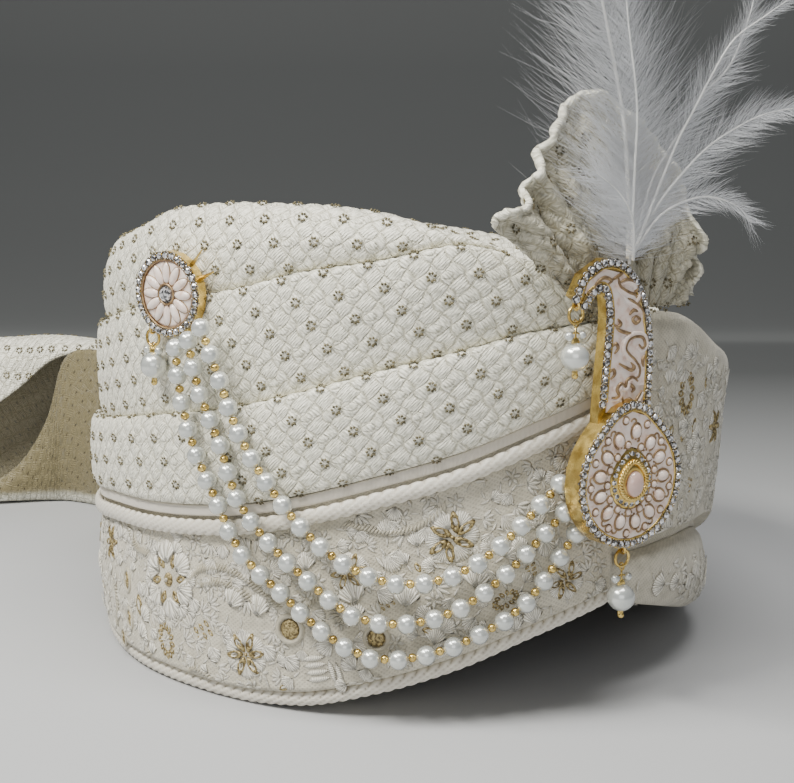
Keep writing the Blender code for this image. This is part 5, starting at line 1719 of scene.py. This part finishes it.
def make_drop(jewel, node, eye, neck):
    """A ring with two seed pearls, a pearl and a gold bead below it."""
    half = (RING_SIZE - RING_WIRE) / 2
    centre = np.array(eye) - (0, 0, half)
    turn = 2 * math.pi * np.arange(28) / 28
    ring = oval_line(half, half, 0.0, 28) + centre
    foot = centre - (0, 0, half)
    pearl_centre = foot - (0, 0, neck + DROP_PEARL / 2)
    below = pearl_centre - (0, 0, DROP_PEARL / 2)
    loop = np.stack([0.0009 * np.sin(turn), 0.0009 * np.cos(turn) * 0.3, 0.0011 * np.cos(turn)], -1) + foot
    parts = [jewel.wire("ring", ring, RING_WIRE * 0.5, GOLD_METAL, 8, True),
             jewel.wire("loop", loop, RING_WIRE * 0.3, GOLD_METAL, 6, True),
             jewel.wire("pin", np.linspace(foot - (0, 0, 0.0008), below - (0, 0, 0.0016), 6), 0.00035,
                        GOLD_METAL, 6),
             jewel.set_out("beads", SMALL_BALL, [below - (0, 0, 0.0013), below - (0, 0, 0.0002),
                                                pearl_centre + (0, 0, DROP_PEARL / 2)],
                           [(0.0022, 0.0022, 0.0022), (0.0026, 0.0026, 0.0008), (0.0034, 0.0034, 0.0012)],
                           GOLD_METAL)]
    seed_level = foot - (0, 0, neck * 0.62 + 0.0004)
    seeds = [seed_level + (0.0026, 0, 0.0002), seed_level - (0.0026, 0, -0.0002)]
    arms = spline_points(np.array([seeds[1], seed_level + (0, 0, 0.0012), seeds[0]]), 6)
    parts.append(jewel.wire("arms", arms, 0.0003, GOLD_METAL, 6))
    metal = join_pieces(f"{jewel.name}_{node}_metal", parts)
    pearls = jewel.set_out(f"{node}_pearls", BALL, [pearl_centre] + seeds,
                           [(DROP_PEARL,) * 3, (0.0029,) * 3, (0.0029,) * 3], PEARL)
    finished(metal, "gold_metal", node)
    finished(pearls, "pearl")


def line_in_panel(points, depth, per_span=8):
    """A smooth line through across and up places, in millimetres, at one depth of a jewel's face."""
    rows = np.array(points) * 0.001
    return spline_points(np.stack([rows[:, 0], np.full(len(rows), depth), rows[:, 1]], -1), per_span)


def make_stem_foot(jewel, depth, back):
    """Enamel that carries the stem's panel down behind the base."""
    left, right = (stem_edge(side, STONE_RIM + 0.0004, depth)[:32] for side in (-1, 1))
    section = np.stack([left, right, right + (0, back, 0), left + (0, back, 0)], 1)
    uv = np.zeros((len(section), 5, 2))
    piece = tube_piece("stem_foot_enamel", jewel.put(section), uv, ENAMEL)
    return finished(close_seams(piece, outward=True), "pale_enamel")


def make_kalgi_base(jewel, panel):
    """The raised enamel bosses of the base, with gold curls round them."""
    turns = 2 * math.pi * np.arange(BASE_BOSSES) / BASE_BOSSES + 0.1
    step = math.pi / BASE_BOSSES
    big, outer, inner = (teardrop(size, panel, BASE_BOSSES, 0.1 + shift)
                         for size, shift in ((0.0276, 0.0), (0.0348, step), (0.0208, step)))
    bosses = jewel.set_out("big_bosses", OVAL_BOSS, big, [(0.0046, 0.0036, 0.0040)] * BASE_BOSSES, ENAMEL,
                           math.pi / 2 - turns)
    small = jewel.set_out("small_bosses", OVAL_BOSS, np.concatenate([outer, inner]), 0.0021, ENAMEL)
    finished(bosses, "pale_enamel")
    finished(small, "pale_enamel")
    lines = []
    for number, (boss, at) in enumerate(zip(big, turns)):
        out = np.array([math.sin(at), 0, math.cos(at)])
        side = np.array([out[2], 0, -out[0]]) * (1 if number % 2 else -1)
        spin = np.linspace(-2.5, 2.6, 22)[:, None]
        lines.append((boss + np.cos(spin) * out * 0.0027 + np.sin(spin) * side * 0.0021, 0.00042))
        arc = np.linspace(0, 5.2, 18)[:, None]
        for foot, size in ((boss + out * 0.0030 + side * 0.0012, 0.0013),
                           (boss - out * 0.0028 - side * 0.0010, 0.0010)):
            curl = foot + (np.cos(arc) * side + np.sin(arc) * out) * size * (1 - arc / 8)
            lines.append((curl, 0.00036))
    for places in (outer, inner):
        for place in places:
            spin = 2 * math.pi * np.arange(12)[:, None] / 12
            lines.append((place + (np.cos(spin) * (1, 0, 0) + np.sin(spin) * (0, 0, 1)) * 0.0013, 0.00030))
    wires = [jewel.wire("curl", line, radius, ANTIQUE_GOLD, 5) for line, radius in lines]
    finished(join_pieces("kalgi_base_scrolls", wires), "gold_metal")


STEM_SCROLLS = (
    ((4.6, 43.2), (6.2, 41.8), (7.2, 43.1), (6.1, 45.3), (2.9, 45.8), (0.1, 44.8), (-1.0, 42.3), (0.7, 40.2),
     (3.2, 38.2), (5.2, 35.5), (5.0, 33.0), (3.4, 32.3)),
    ((-0.2, 39.5), (1.6, 37.9), (2.8, 36.1), (1.8, 35.2), (-1.0, 36.4), (-3.7, 37.8)),
    ((-5.6, 41.0), (-4.2, 42.6), (-5.0, 44.2), (-6.4, 43.4)),
    ((-2.0, 60.5), (0.2, 57.9), (3.6, 55.9), (6.0, 53.6), (6.9, 50.7)),
    ((5.8, 60.0), (5.1, 58.3), (3.5, 56.1), (1.2, 55.6)),
    ((0.3, 52.9), (2.2, 54.2), (4.3, 53.7)),
    ((3.2, 52.4), (4.7, 51.2), (3.3, 50.0), (1.7, 51.3), (3.2, 52.4)),
    ((-5.2, 49.2), (-3.3, 48.1), (-0.4, 47.2), (2.4, 46.6)),
    ((-4.6, 52.0), (-3.2, 50.4), (-4.4, 49.4), (-5.8, 50.2)),
    ((-6.4, 27.1), (-4.6, 27.0), (-3.4, 27.8), (-4.2, 29.6), (-2.6, 31.2), (-0.8, 30.2), (0.0, 32.2),
     (2.4, 32.9),
     (4.6, 31.4)),
    ((-2.2, 27.6), (-1.2, 25.3), (1.2, 25.9), (3.1, 24.6), (4.8, 26.3), (6.4, 28.2)),
    ((0.1, 29.5), (1.5, 30.4), (3.0, 29.2), (2.0, 28.0)),
    ((-7.0, 33.0), (-5.4, 34.4), (-5.8, 36.0), (-7.2, 35.4)),
    ((6.8, 35.8), (6.4, 38.0), (7.2, 39.6)),
    ((-15.2, 60.4), (-13.7, 63.4), (-10.5, 65.2), (-7.5, 64.2), (-8.7, 63.0)),
    ((-7.5, 64.2), (-4.6, 65.4), (-2.6, 66.4)),
    ((-4.6, 64.7), (-3.7, 62.1), (-0.3, 60.0), (2.7, 58.9), (4.0, 56.3)),
    ((-3.8, 63.4), (-0.9, 64.1), (2.5, 63.0), (3.4, 61.0), (2.2, 59.7)),
    ((-16.8, 58.8), (-16.0, 60.6), (-17.4, 61.4)),
)


def make_kalgi():
    """Everything that dresses the kalgi's gold body."""
    jewel = Jewel("kalgi", KALGI_PLACE, 0.0)
    stem_front, base_front = -KALGI_STEM_DEPTH, -KALGI_BASE_DEPTH
    rim = STONE_RIM / 2
    size = 0.0026
    for label, side in (("left", -1), ("right", 1)):
        rhinestones(jewel, "stem_" + label, along_line(stem_edge(side, rim, stem_front, 0.75), STONE_PITCH),
                    size)
    rhinestones(jewel, "base",
                along_line(teardrop(KALGI_BASE_SIZE - STONE_RIM, base_front), STONE_PITCH, True), size)
    ring = teardrop(BEZEL_SIZE + STONE_RIM * 0.95, base_front)
    rhinestones(jewel, "bezel", along_line(ring, 0.0024, True), 0.0022)

    make_kalgi_base(jewel, base_front + ENAMEL_RECESS - 0.0003 - ENAMEL_THICKNESS)
    stem_panel = stem_front + ENAMEL_RECESS - 0.0003 - ENAMEL_THICKNESS
    make_stem_foot(jewel, stem_panel + 0.00006, 0.0010)
    scrolls = []
    for points in STEM_SCROLLS:
        line = line_in_panel(points, stem_panel)
        share = np.linspace(0, 1, len(line))
        scrolls.append(jewel.wire("scroll", line, 0.00032 + 0.00034 * np.sin(math.pi * share), ANTIQUE_GOLD,
                                  6))
    finished(join_pieces("kalgi_stem_scrolls", scrolls), "gold_metal")
    ridges = []
    for points in STEM_SCROLLS[:1] + STEM_SCROLLS[3:5] + STEM_SCROLLS[9:11] + STEM_SCROLLS[16:18]:
        line = line_in_panel(points, stem_panel + 0.0001)
        ways = unit(np.gradient(line, axis=0))
        beside = line + np.stack([ways[:, 2], 0 * ways[:, 1], -ways[:, 0]], -1) * 0.0010
        share = np.linspace(0, 1, len(line))
        ridges.append(jewel.wire("ridge", beside, 0.0003 + 0.0006 * np.sin(math.pi * share), ENAMEL, 6))
    finished(join_pieces("kalgi_stem_ridges", ridges), "pale_enamel")
    for side in (-1, 1):
        edge = jewel.wire(f"stem_edge_{side + 1}", stem_edge(side, STONE_RIM + 0.0002, stem_panel, 0.9),
                          0.0003,
                          GOLD_METAL, 6)
        finished(edge, "gold_metal")
    edge = jewel.wire("base_edge", teardrop(KALGI_BASE_SIZE - 2 * STONE_RIM, base_front), 0.00035, GOLD_METAL,
                      6, True)
    finished(edge, "gold_metal")

    bezel_ropes = []
    for strand in range(2):
        loop = teardrop(BEZEL_SIZE - 0.0012, base_front - 0.0012, 120)
        twist = 2 * math.pi * (np.arange(120) / 120 * 17 + strand / 2)
        sideways = unit(loop * (1, 0, 1)) * (np.cos(twist) * 0.00050)[:, None]
        loop = loop + sideways + np.array([0, 1.0, 0]) * (np.sin(twist) * 0.00050)[:, None]
        bezel_ropes.append(jewel.wire("bezel_rope", loop, 0.00055, GOLD_METAL, 6, True))
    finished(join_pieces("kalgi_bezel_rope", bezel_ropes), "gold_metal")
    make_set_stone(jewel, base_front)

    hook_end = np.array([STEM[-1].across * KALGI_HEIGHT, stem_front / 2, STEM[-1].up * KALGI_HEIGHT])
    hook_eye = hook_end - (EYE_SIZE * 0.05, 0.0, EYE_SIZE * 0.30)
    base_eye = np.array([0.0, base_front / 2, -KALGI_BASE_SIZE * 0.485 - EYE_SIZE * 0.35])
    make_drop(jewel, "hook_drop", hook_eye, DROP_NECK)
    make_drop(jewel, "base_drop", base_eye, DROP_NECK)


def make_set_stone(jewel, base_front):
    """The oval pink stone, low in its pointed gold setting."""
    steps = 48

    def oval(share, depth):
        return oval_line(0.0034 * share, 0.0043 * share, depth, steps) + (0.0004, 0, -0.0008)

    def closed_stack(name, loops, material):
        points = jewel.put(np.concatenate(loops))
        faces = [(steps * ring + a, steps * ring + (a + 1) % steps, steps * (ring + 1) + (a + 1) % steps,
                  steps * (ring + 1) + a) for ring in range(len(loops) - 1) for a in range(steps)]
        faces += [tuple(range(steps)), tuple(steps * (len(loops) - 1) + a for a in range(steps))]
        return close_seams(make_piece(name, points, faces, material), outward=True)

    face = base_front + ENAMEL_RECESS - 0.0003 - ENAMEL_THICKNESS
    stone = [oval(0.98, face + 0.0004), oval(1.0, face - 0.0012), oval(0.94, face - 0.0020),
             oval(0.78, face - 0.0027),
             oval(0.52, face - 0.0032), oval(0.22, face - 0.0034)]
    finished(closed_stack("pink_stone_cut", stone, PINK_STONE), "pink_stone", "kalgi_stone")
    setting = [teardrop(BEZEL_SIZE - 0.0016, face + 0.0006, steps),
               teardrop(BEZEL_SIZE - 0.0016, face - 0.0008, steps),
               oval(1.06, face - 0.0015), oval(0.98, face - 0.0011), oval(0.94, face + 0.0002)]
    finished(closed_stack("kalgi_stone_setting", setting, GOLD_METAL), "gold_metal")


# The round brooch

BROOCH_SIZE = 0.0288
BROOCH_DEPTH = 0.0036
BROOCH_ANGLE = 77.5
BROOCH_FACING = 71.0
BROOCH_STANDOFF = 0.0012
FLOWER_PETALS = 12


def make_brooch():
    """The enamel flower, stones and drop on the brooch's gold body."""
    place = on_turban(BROOCH_ANGLE, MIDDLE_SETBACK - BROOCH_STANDOFF, 0.819 * TURBAN_HEIGHT)
    jewel = Jewel("brooch", place, BROOCH_FACING)
    front = -BROOCH_DEPTH

    def circle(size, depth):
        return oval_line(size / 2, size / 2, depth)

    rhinestones(jewel, "rim", along_line(circle(BROOCH_SIZE - STONE_RIM, front), 0.0028, True), 0.0026)
    petals = 2 * math.pi * np.arange(FLOWER_PETALS) / FLOWER_PETALS
    floor = front + ENAMEL_RECESS - 0.0003 - 0.0008
    places = oval_line(0.0070, 0.0070, floor, FLOWER_PETALS)
    bosses = jewel.set_out("petals", OVAL_BOSS, places, [(0.0078, 0.0034, 0.0032)] * FLOWER_PETALS, ENAMEL,
                           math.pi / 2 - petals)
    plate = turned_shape("plate_shape", [(0, -0.10), (0.5, -0.10), (0.5, -0.02), (0.45, 0.02), (0, 0.03)], 48)
    disc = jewel.set_out("enamel_ground", plate, [np.array([0, floor, 0])], [(0.0222, 0.0222, 0.0080)],
                         ENAMEL)
    edges = []
    for at, boss in zip(petals, places):
        out = np.array([math.sin(at), 0, math.cos(at)])
        side = np.array([out[2], 0, -out[0]])
        spin = 2 * math.pi * np.arange(22) / 22
        path = (boss + np.cos(spin)[:, None] * out * 0.0036 + np.sin(spin)[:, None] * side * 0.0016
                - np.array([0, 0.0003, 0]))
        edges.append(jewel.wire("petal_edge", path, 0.00020, ANTIQUE_GOLD, 5, True))
    edges.append(jewel.wire("inner_ring", circle(0.0066, floor - 0.0008), 0.0004, ANTIQUE_GOLD, 6, True))
    edges.append(jewel.wire("outer_ring", circle(BROOCH_SIZE - 2 * STONE_RIM, front), 0.00035, ANTIQUE_GOLD,
                            6, True))
    finished(join_pieces("brooch_gold_lines", edges), "gold_metal")
    finished(bosses, "pale_enamel", "brooch_flower")
    finished(disc, "pale_enamel")
    heart = np.array([0, floor - 0.0010, 0])
    finished(jewel.set_out("heart_stone", CUT_STONE, [heart], 0.0050, CLEAR_STONE), "gold_metal")
    finished(jewel.set_out("heart_cup", CUP, [heart + (0, 0.0005, 0)], 0.0054, SILVER), "gold_metal")
    eye = np.array([-BROOCH_SIZE * 0.30, front / 2, -BROOCH_SIZE * 0.40 - EYE_SIZE * 0.30])
    make_drop(jewel, "brooch_drop", eye, RING_WIRE * 2)


# The plume

Feather = namedtuple("Feather", "name spine barbs spread splay tip_length seed")
PLUME_DEPTH = -0.1345
FEATHERS = (
    Feather("main", ((-8.2, 0, 150), (-7.6, 1, 163), (-7.9, 2, 178), (-8.9, 3, 193), (-11.5, 4, 207),
                     (-16.9, 3, 223), (-24.0, 2, 244), (-30.0, 1, 264)), 2300, 0.043, 68, 0.020, 61),
    Feather("second", ((-8.1, -1, 151), (-7.7, -1, 167), (-8.3, -2, 179), (-8.7, -3, 194), (-11.0, -4, 206),
                       (-14.4, -4, 224), (-17.0, -4, 246), (-18.0, -3, 266)), 1300, 0.030, 60, 0.018, 62),
    Feather("right", ((-7.0, 0, 152), (-0.6, -1, 173), (6.0, -2, 184), (11.3, -4, 192), (17.2, -5, 201),
                      (28.4, -5, 210), (36.4, -5, 225), (44.0, -5, 250)), 1100, 0.020, 46, 0.015, 63),
    Feather("low", ((-6.5, 0, 152), (0.2, -3, 166), (8.7, -6, 177), (17.6, -8, 185), (29.3, -9, 191),
                    (42.0, -9, 195), (58.0, -9, 197), (68.0, -8, 198)), 1300, 0.020, 46, 0.014, 64),
    Feather("top", ((-7.0, -2, 154), (6.3, -4, 184), (12.3, -6, 196), (17.1, -8, 206), (26.9, -8, 218),
                    (41.1, -8, 226), (59.5, -7, 235), (70.0, -7, 240)), 900, 0.015, 38, 0.010, 65),
    Feather("droop", ((-7.4, -1, 152), (2.0, -4, 164), (16.0, -7, 169), (30.0, -8, 166), (38.0, -8, 160)),
            600, 0.015, 50, 0.012, 66),
    Feather("left", ((-9.0, -3, 150), (-14.0, -8, 162), (-22.0, -11, 171), (-32.0, -11, 178)), 500, 0.020, 60,
            0.016, 67),
    Feather("fluff", ((-6.0, 2, 148), (-6.6, 3, 158), (-7.2, 4, 170), (-7.6, 4, 184)), 1500, 0.026, 84, 0.024,
            68),
)


def make_feathers():
    """White feathers, barb by barb, on their quills."""
    quills, points, faces = [], [], []
    for feather in FEATHERS:
        draw = np.random.default_rng(feather.seed)
        raw = np.array(feather.spine) * 0.001
        spine = spline_points(raw + (0, PLUME_DEPTH, 0), 16)
        spine = spaced(spine, 80)
        ways = unit(np.gradient(spine, axis=0))
        thick = np.linspace(0.0010, 0.0002, len(spine)) * (1.0 if feather.name == "main" else 0.55)
        quills.append(wire_piece("quill", spine, thick, QUILL, 6, False, (0, -1, 0)))
        tuft = 0.0
        for number in range(feather.barbs):
            if number % 12 < 2:
                tuft = draw.normal(0, 0.10)
            share = min(0.03 + 0.97 * (number // 2 + draw.uniform(0, 0.8)) / (feather.barbs / 2), 0.999)
            at = share * (len(spine) - 1)
            first = int(at)
            root = spine[first] + (spine[min(first + 1, len(spine) - 1)] - spine[first]) * (at - first)
            way = ways[first]
            side = unit(np.cross(way, (0, 1.0, 0))) * (1 if number % 2 else -1)
            full = feather.spread * (0.55 + 0.45 * math.sin(math.pi * min(1.0, share * 1.25 + 0.1)))
            full = full * (1 - share ** 3) + feather.tip_length * share ** 3
            length = full * draw.uniform(0.35, 1.15)
            splay = math.radians(feather.splay * (1 - 0.50 * share) * (draw.uniform(0.88, 1.12) + tuft))
            lean = draw.normal(0, 0.22)
            start_way = way * math.cos(splay) + side * math.sin(splay) + np.array([0, lean, 0])
            end_way = unit(start_way) * 0.75 + way * 0.45 + np.array([0, lean * 0.6, -0.10 * (1 - share)])
            steps = np.linspace(0, 1, 5)[:, None]
            sway = draw.normal(0, 0.035, 3) * length
            curl = np.sin(steps * math.pi * draw.uniform(1.2, 2.6)) * sway
            bend = steps ** 2 / 2
            path = root + unit(start_way) * length * (steps - bend) + unit(end_way) * length * bend + curl
            wide = draw.uniform(0.00004, 0.00008) * np.array([1.0, 1.0, 0.8, 0.45, 0.10])
            across = unit(np.cross(unit(np.gradient(path, axis=0)), (0.35, -0.85, 0.1)))
            base = len(points)
            points += list(path - across * wide[:, None]) + list(path + across * wide[:, None])
            faces += [(base + k, base + 5 + k, base + 6 + k, base + k + 1) for k in range(4)]
    barbs = make_piece("plume_barbs", np.array(points), faces, BARB)
    finished(barbs, "feather", "plume")
    finished(join_pieces("plume_quills", quills), "feather")


# Light, floor and camera

PHOTO_WIDTH = 794
FOCAL_PIXELS = 1700.0
CAMERA_AZIMUTH = 35.0
CAMERA_DISTANCE = 0.650
CAMERA_HEIGHT = 0.200
CAMERA_PITCH = 9.8
CAMERA_TURN_PIXELS = 8.0
LIGHT_AIM = (0.0, 0.0, 0.08)
AWAY = (0.574, 0.819, 0.0)


def make_camera():
    """A camera at the photograph's place and angle."""
    azimuth = math.radians(CAMERA_AZIMUTH)
    away = Vector((-math.sin(azimuth), -math.cos(azimuth), 0.0))
    place = Vector(AXIS) + away * CAMERA_DISTANCE + Vector((0, 0, CAMERA_HEIGHT))
    turn = math.atan(CAMERA_TURN_PIXELS / FOCAL_PIXELS)
    pitch = math.radians(CAMERA_PITCH)
    level = -away * math.cos(turn) - Vector((-away.y, away.x, 0.0)) * math.sin(turn)
    look = level.normalized() * math.cos(pitch) + Vector((0, 0, -math.sin(pitch)))
    data = bpy.data.cameras.new("camera")
    data.sensor_fit = "HORIZONTAL"
    data.sensor_width = 36.0
    data.lens = FOCAL_PIXELS * 36.0 / PHOTO_WIDTH
    data.clip_start = 0.01
    camera = bpy.data.objects.new("camera", data)
    camera.location = place
    camera.rotation_euler = look.to_track_quat("-Z", "Y").to_euler()
    bpy.context.scene.collection.objects.link(camera)
    bpy.context.scene.camera = camera


def area_light(name, place, size, power, colour):
    """A soft lamp that looks at the turban's middle."""
    data = bpy.data.lights.new(name, "AREA")
    data.shape = "RECTANGLE"
    data.size, data.size_y = size
    data.energy = power
    data.color = colour
    lamp = bpy.data.objects.new(name, data)
    lamp.location = Vector(place) + Vector(AXIS)
    lamp.rotation_euler = (Vector(LIGHT_AIM) - Vector(place)).to_track_quat("-Z", "Y").to_euler()
    bpy.context.scene.collection.objects.link(lamp)


def floor_finish():
    """A pale floor with painted shade that darkens it behind the turban."""
    finish = Finish("floor", (0.60, 0.61, 0.63), 0.8)
    away = finish.node("VectorMath", {0: finish.object_place(), 1: AWAY}, operation="DOT_PRODUCT")
    share = finish.node("MapRange", {0: away.outputs["Value"], 1: 0.0, 2: 1.5, 3: 0.0, 4: 1.0})
    # Painted shade: the floor's colour falls off away from the camera.
    finish.set("Base Color",
               finish.ramp(share.outputs[0], (0.0, (0.46, 0.465, 0.475)), (0.10, (0.36, 0.365, 0.37)),
                                         (0.35, (0.12, 0.125, 0.125)), (0.8, (0.12, 0.125, 0.125)),
                                         (1.0, (0.19, 0.195, 0.19))))
    return finish.material


def make_stage():
    """A pale floor that curves up behind, darkened away from the camera by painted shade, and soft studio
    light.
    """
    profile = [(-1.6, 0.0), (0.45, 0.0), (0.75, 0.02), (1.05, 0.10), (1.30, 0.27), (1.48, 0.55), (1.55, 1.0),
               (1.55, 1.8)]
    away = unit(np.array(AWAY))
    side = np.array([away[1], -away[0], 0.0])
    curve = spline_points(np.array(profile), 14)
    curve[:, 1] = np.maximum(curve[:, 1], 0.0)
    points = []
    for way, high in curve:
        points += [away * way - side * 2.2 + (0, 0, high), away * way + side * 2.2 + (0, 0, high)]
    faces = [(2 * k, 2 * k + 1, 2 * k + 3, 2 * k + 2) for k in range(len(curve) - 1)]
    floor = make_piece("floor", points, faces, floor_finish())
    world = bpy.data.worlds.new("studio")
    world.use_nodes = True
    world.node_tree.nodes["Background"].inputs["Color"].default_value = (0.78, 0.81, 0.86, 1.0)
    world.node_tree.nodes["Background"].inputs["Strength"].default_value = 0.26
    bpy.context.scene.world = world
    area_light("key", (-0.62, 0.02, 0.80), (0.62, 0.16), 13.0, (1.0, 0.985, 0.92))
    area_light("overhead", (-0.12, -0.30, 1.05), (0.70, 0.30), 9.5, (1.0, 0.99, 0.955))
    area_light("fill", (-0.75, -1.05, 0.45), (0.9, 0.6), 2.6, (0.97, 0.98, 1.0))


make_camera()
make_stage()
make_wraps()
embroider_border(make_border())
embroider_roll(make_roll())
make_tape()
make_rope("rope_braid_cloth", "rope_braid", "braid", BRAID_END, BRAID_THICKNESS, BRAID_HEIGHT, 0.0044, 1.0,
          0.46)
make_rope("hem_braid_cloth", "hem_braid", "hem", HEM_END, HEM_BRAID_SIZE, HEM_BRAID_SIZE, 0.0038, 0.9, 0.42)
make_crown()
FAN_PIECE, FAN_FRONT, FAN_BACK, FAN_AREA = make_fan()
TAIL_PIECE, TAIL_OUT, TAIL_AROUND, TAIL_REACH = make_tail()
finished(TAIL_PIECE, "brocade", "tail")
for face in (FAN_FRONT, FAN_BACK):
    MOTIF_SPOTS.extend(brocade_spots(face))
MOTIF_SPOTS.extend(spot for spot in brocade_spots(TAIL_OUT, TAIL_WORK_START) if spot[0][2] > TAIL_WORK_FOOT)
finished(set_out("wrap_motifs", MOTIF, MOTIF_SPOTS, GOLD_THREAD), "brocade")
make_pearl_strings()
make_kalgi()
make_brooch()
make_feathers()
for node, finish in (("kalgi", GOLD_METAL), ("brooch", GOLD_METAL),
                     ("base_enamel", ENAMEL), ("stem_enamel", ENAMEL)):
    NODES[node].data.materials.clear()
    NODES[node].data.materials.append(finish)
for shape in SHAPES:
    bpy.data.objects.remove(shape)
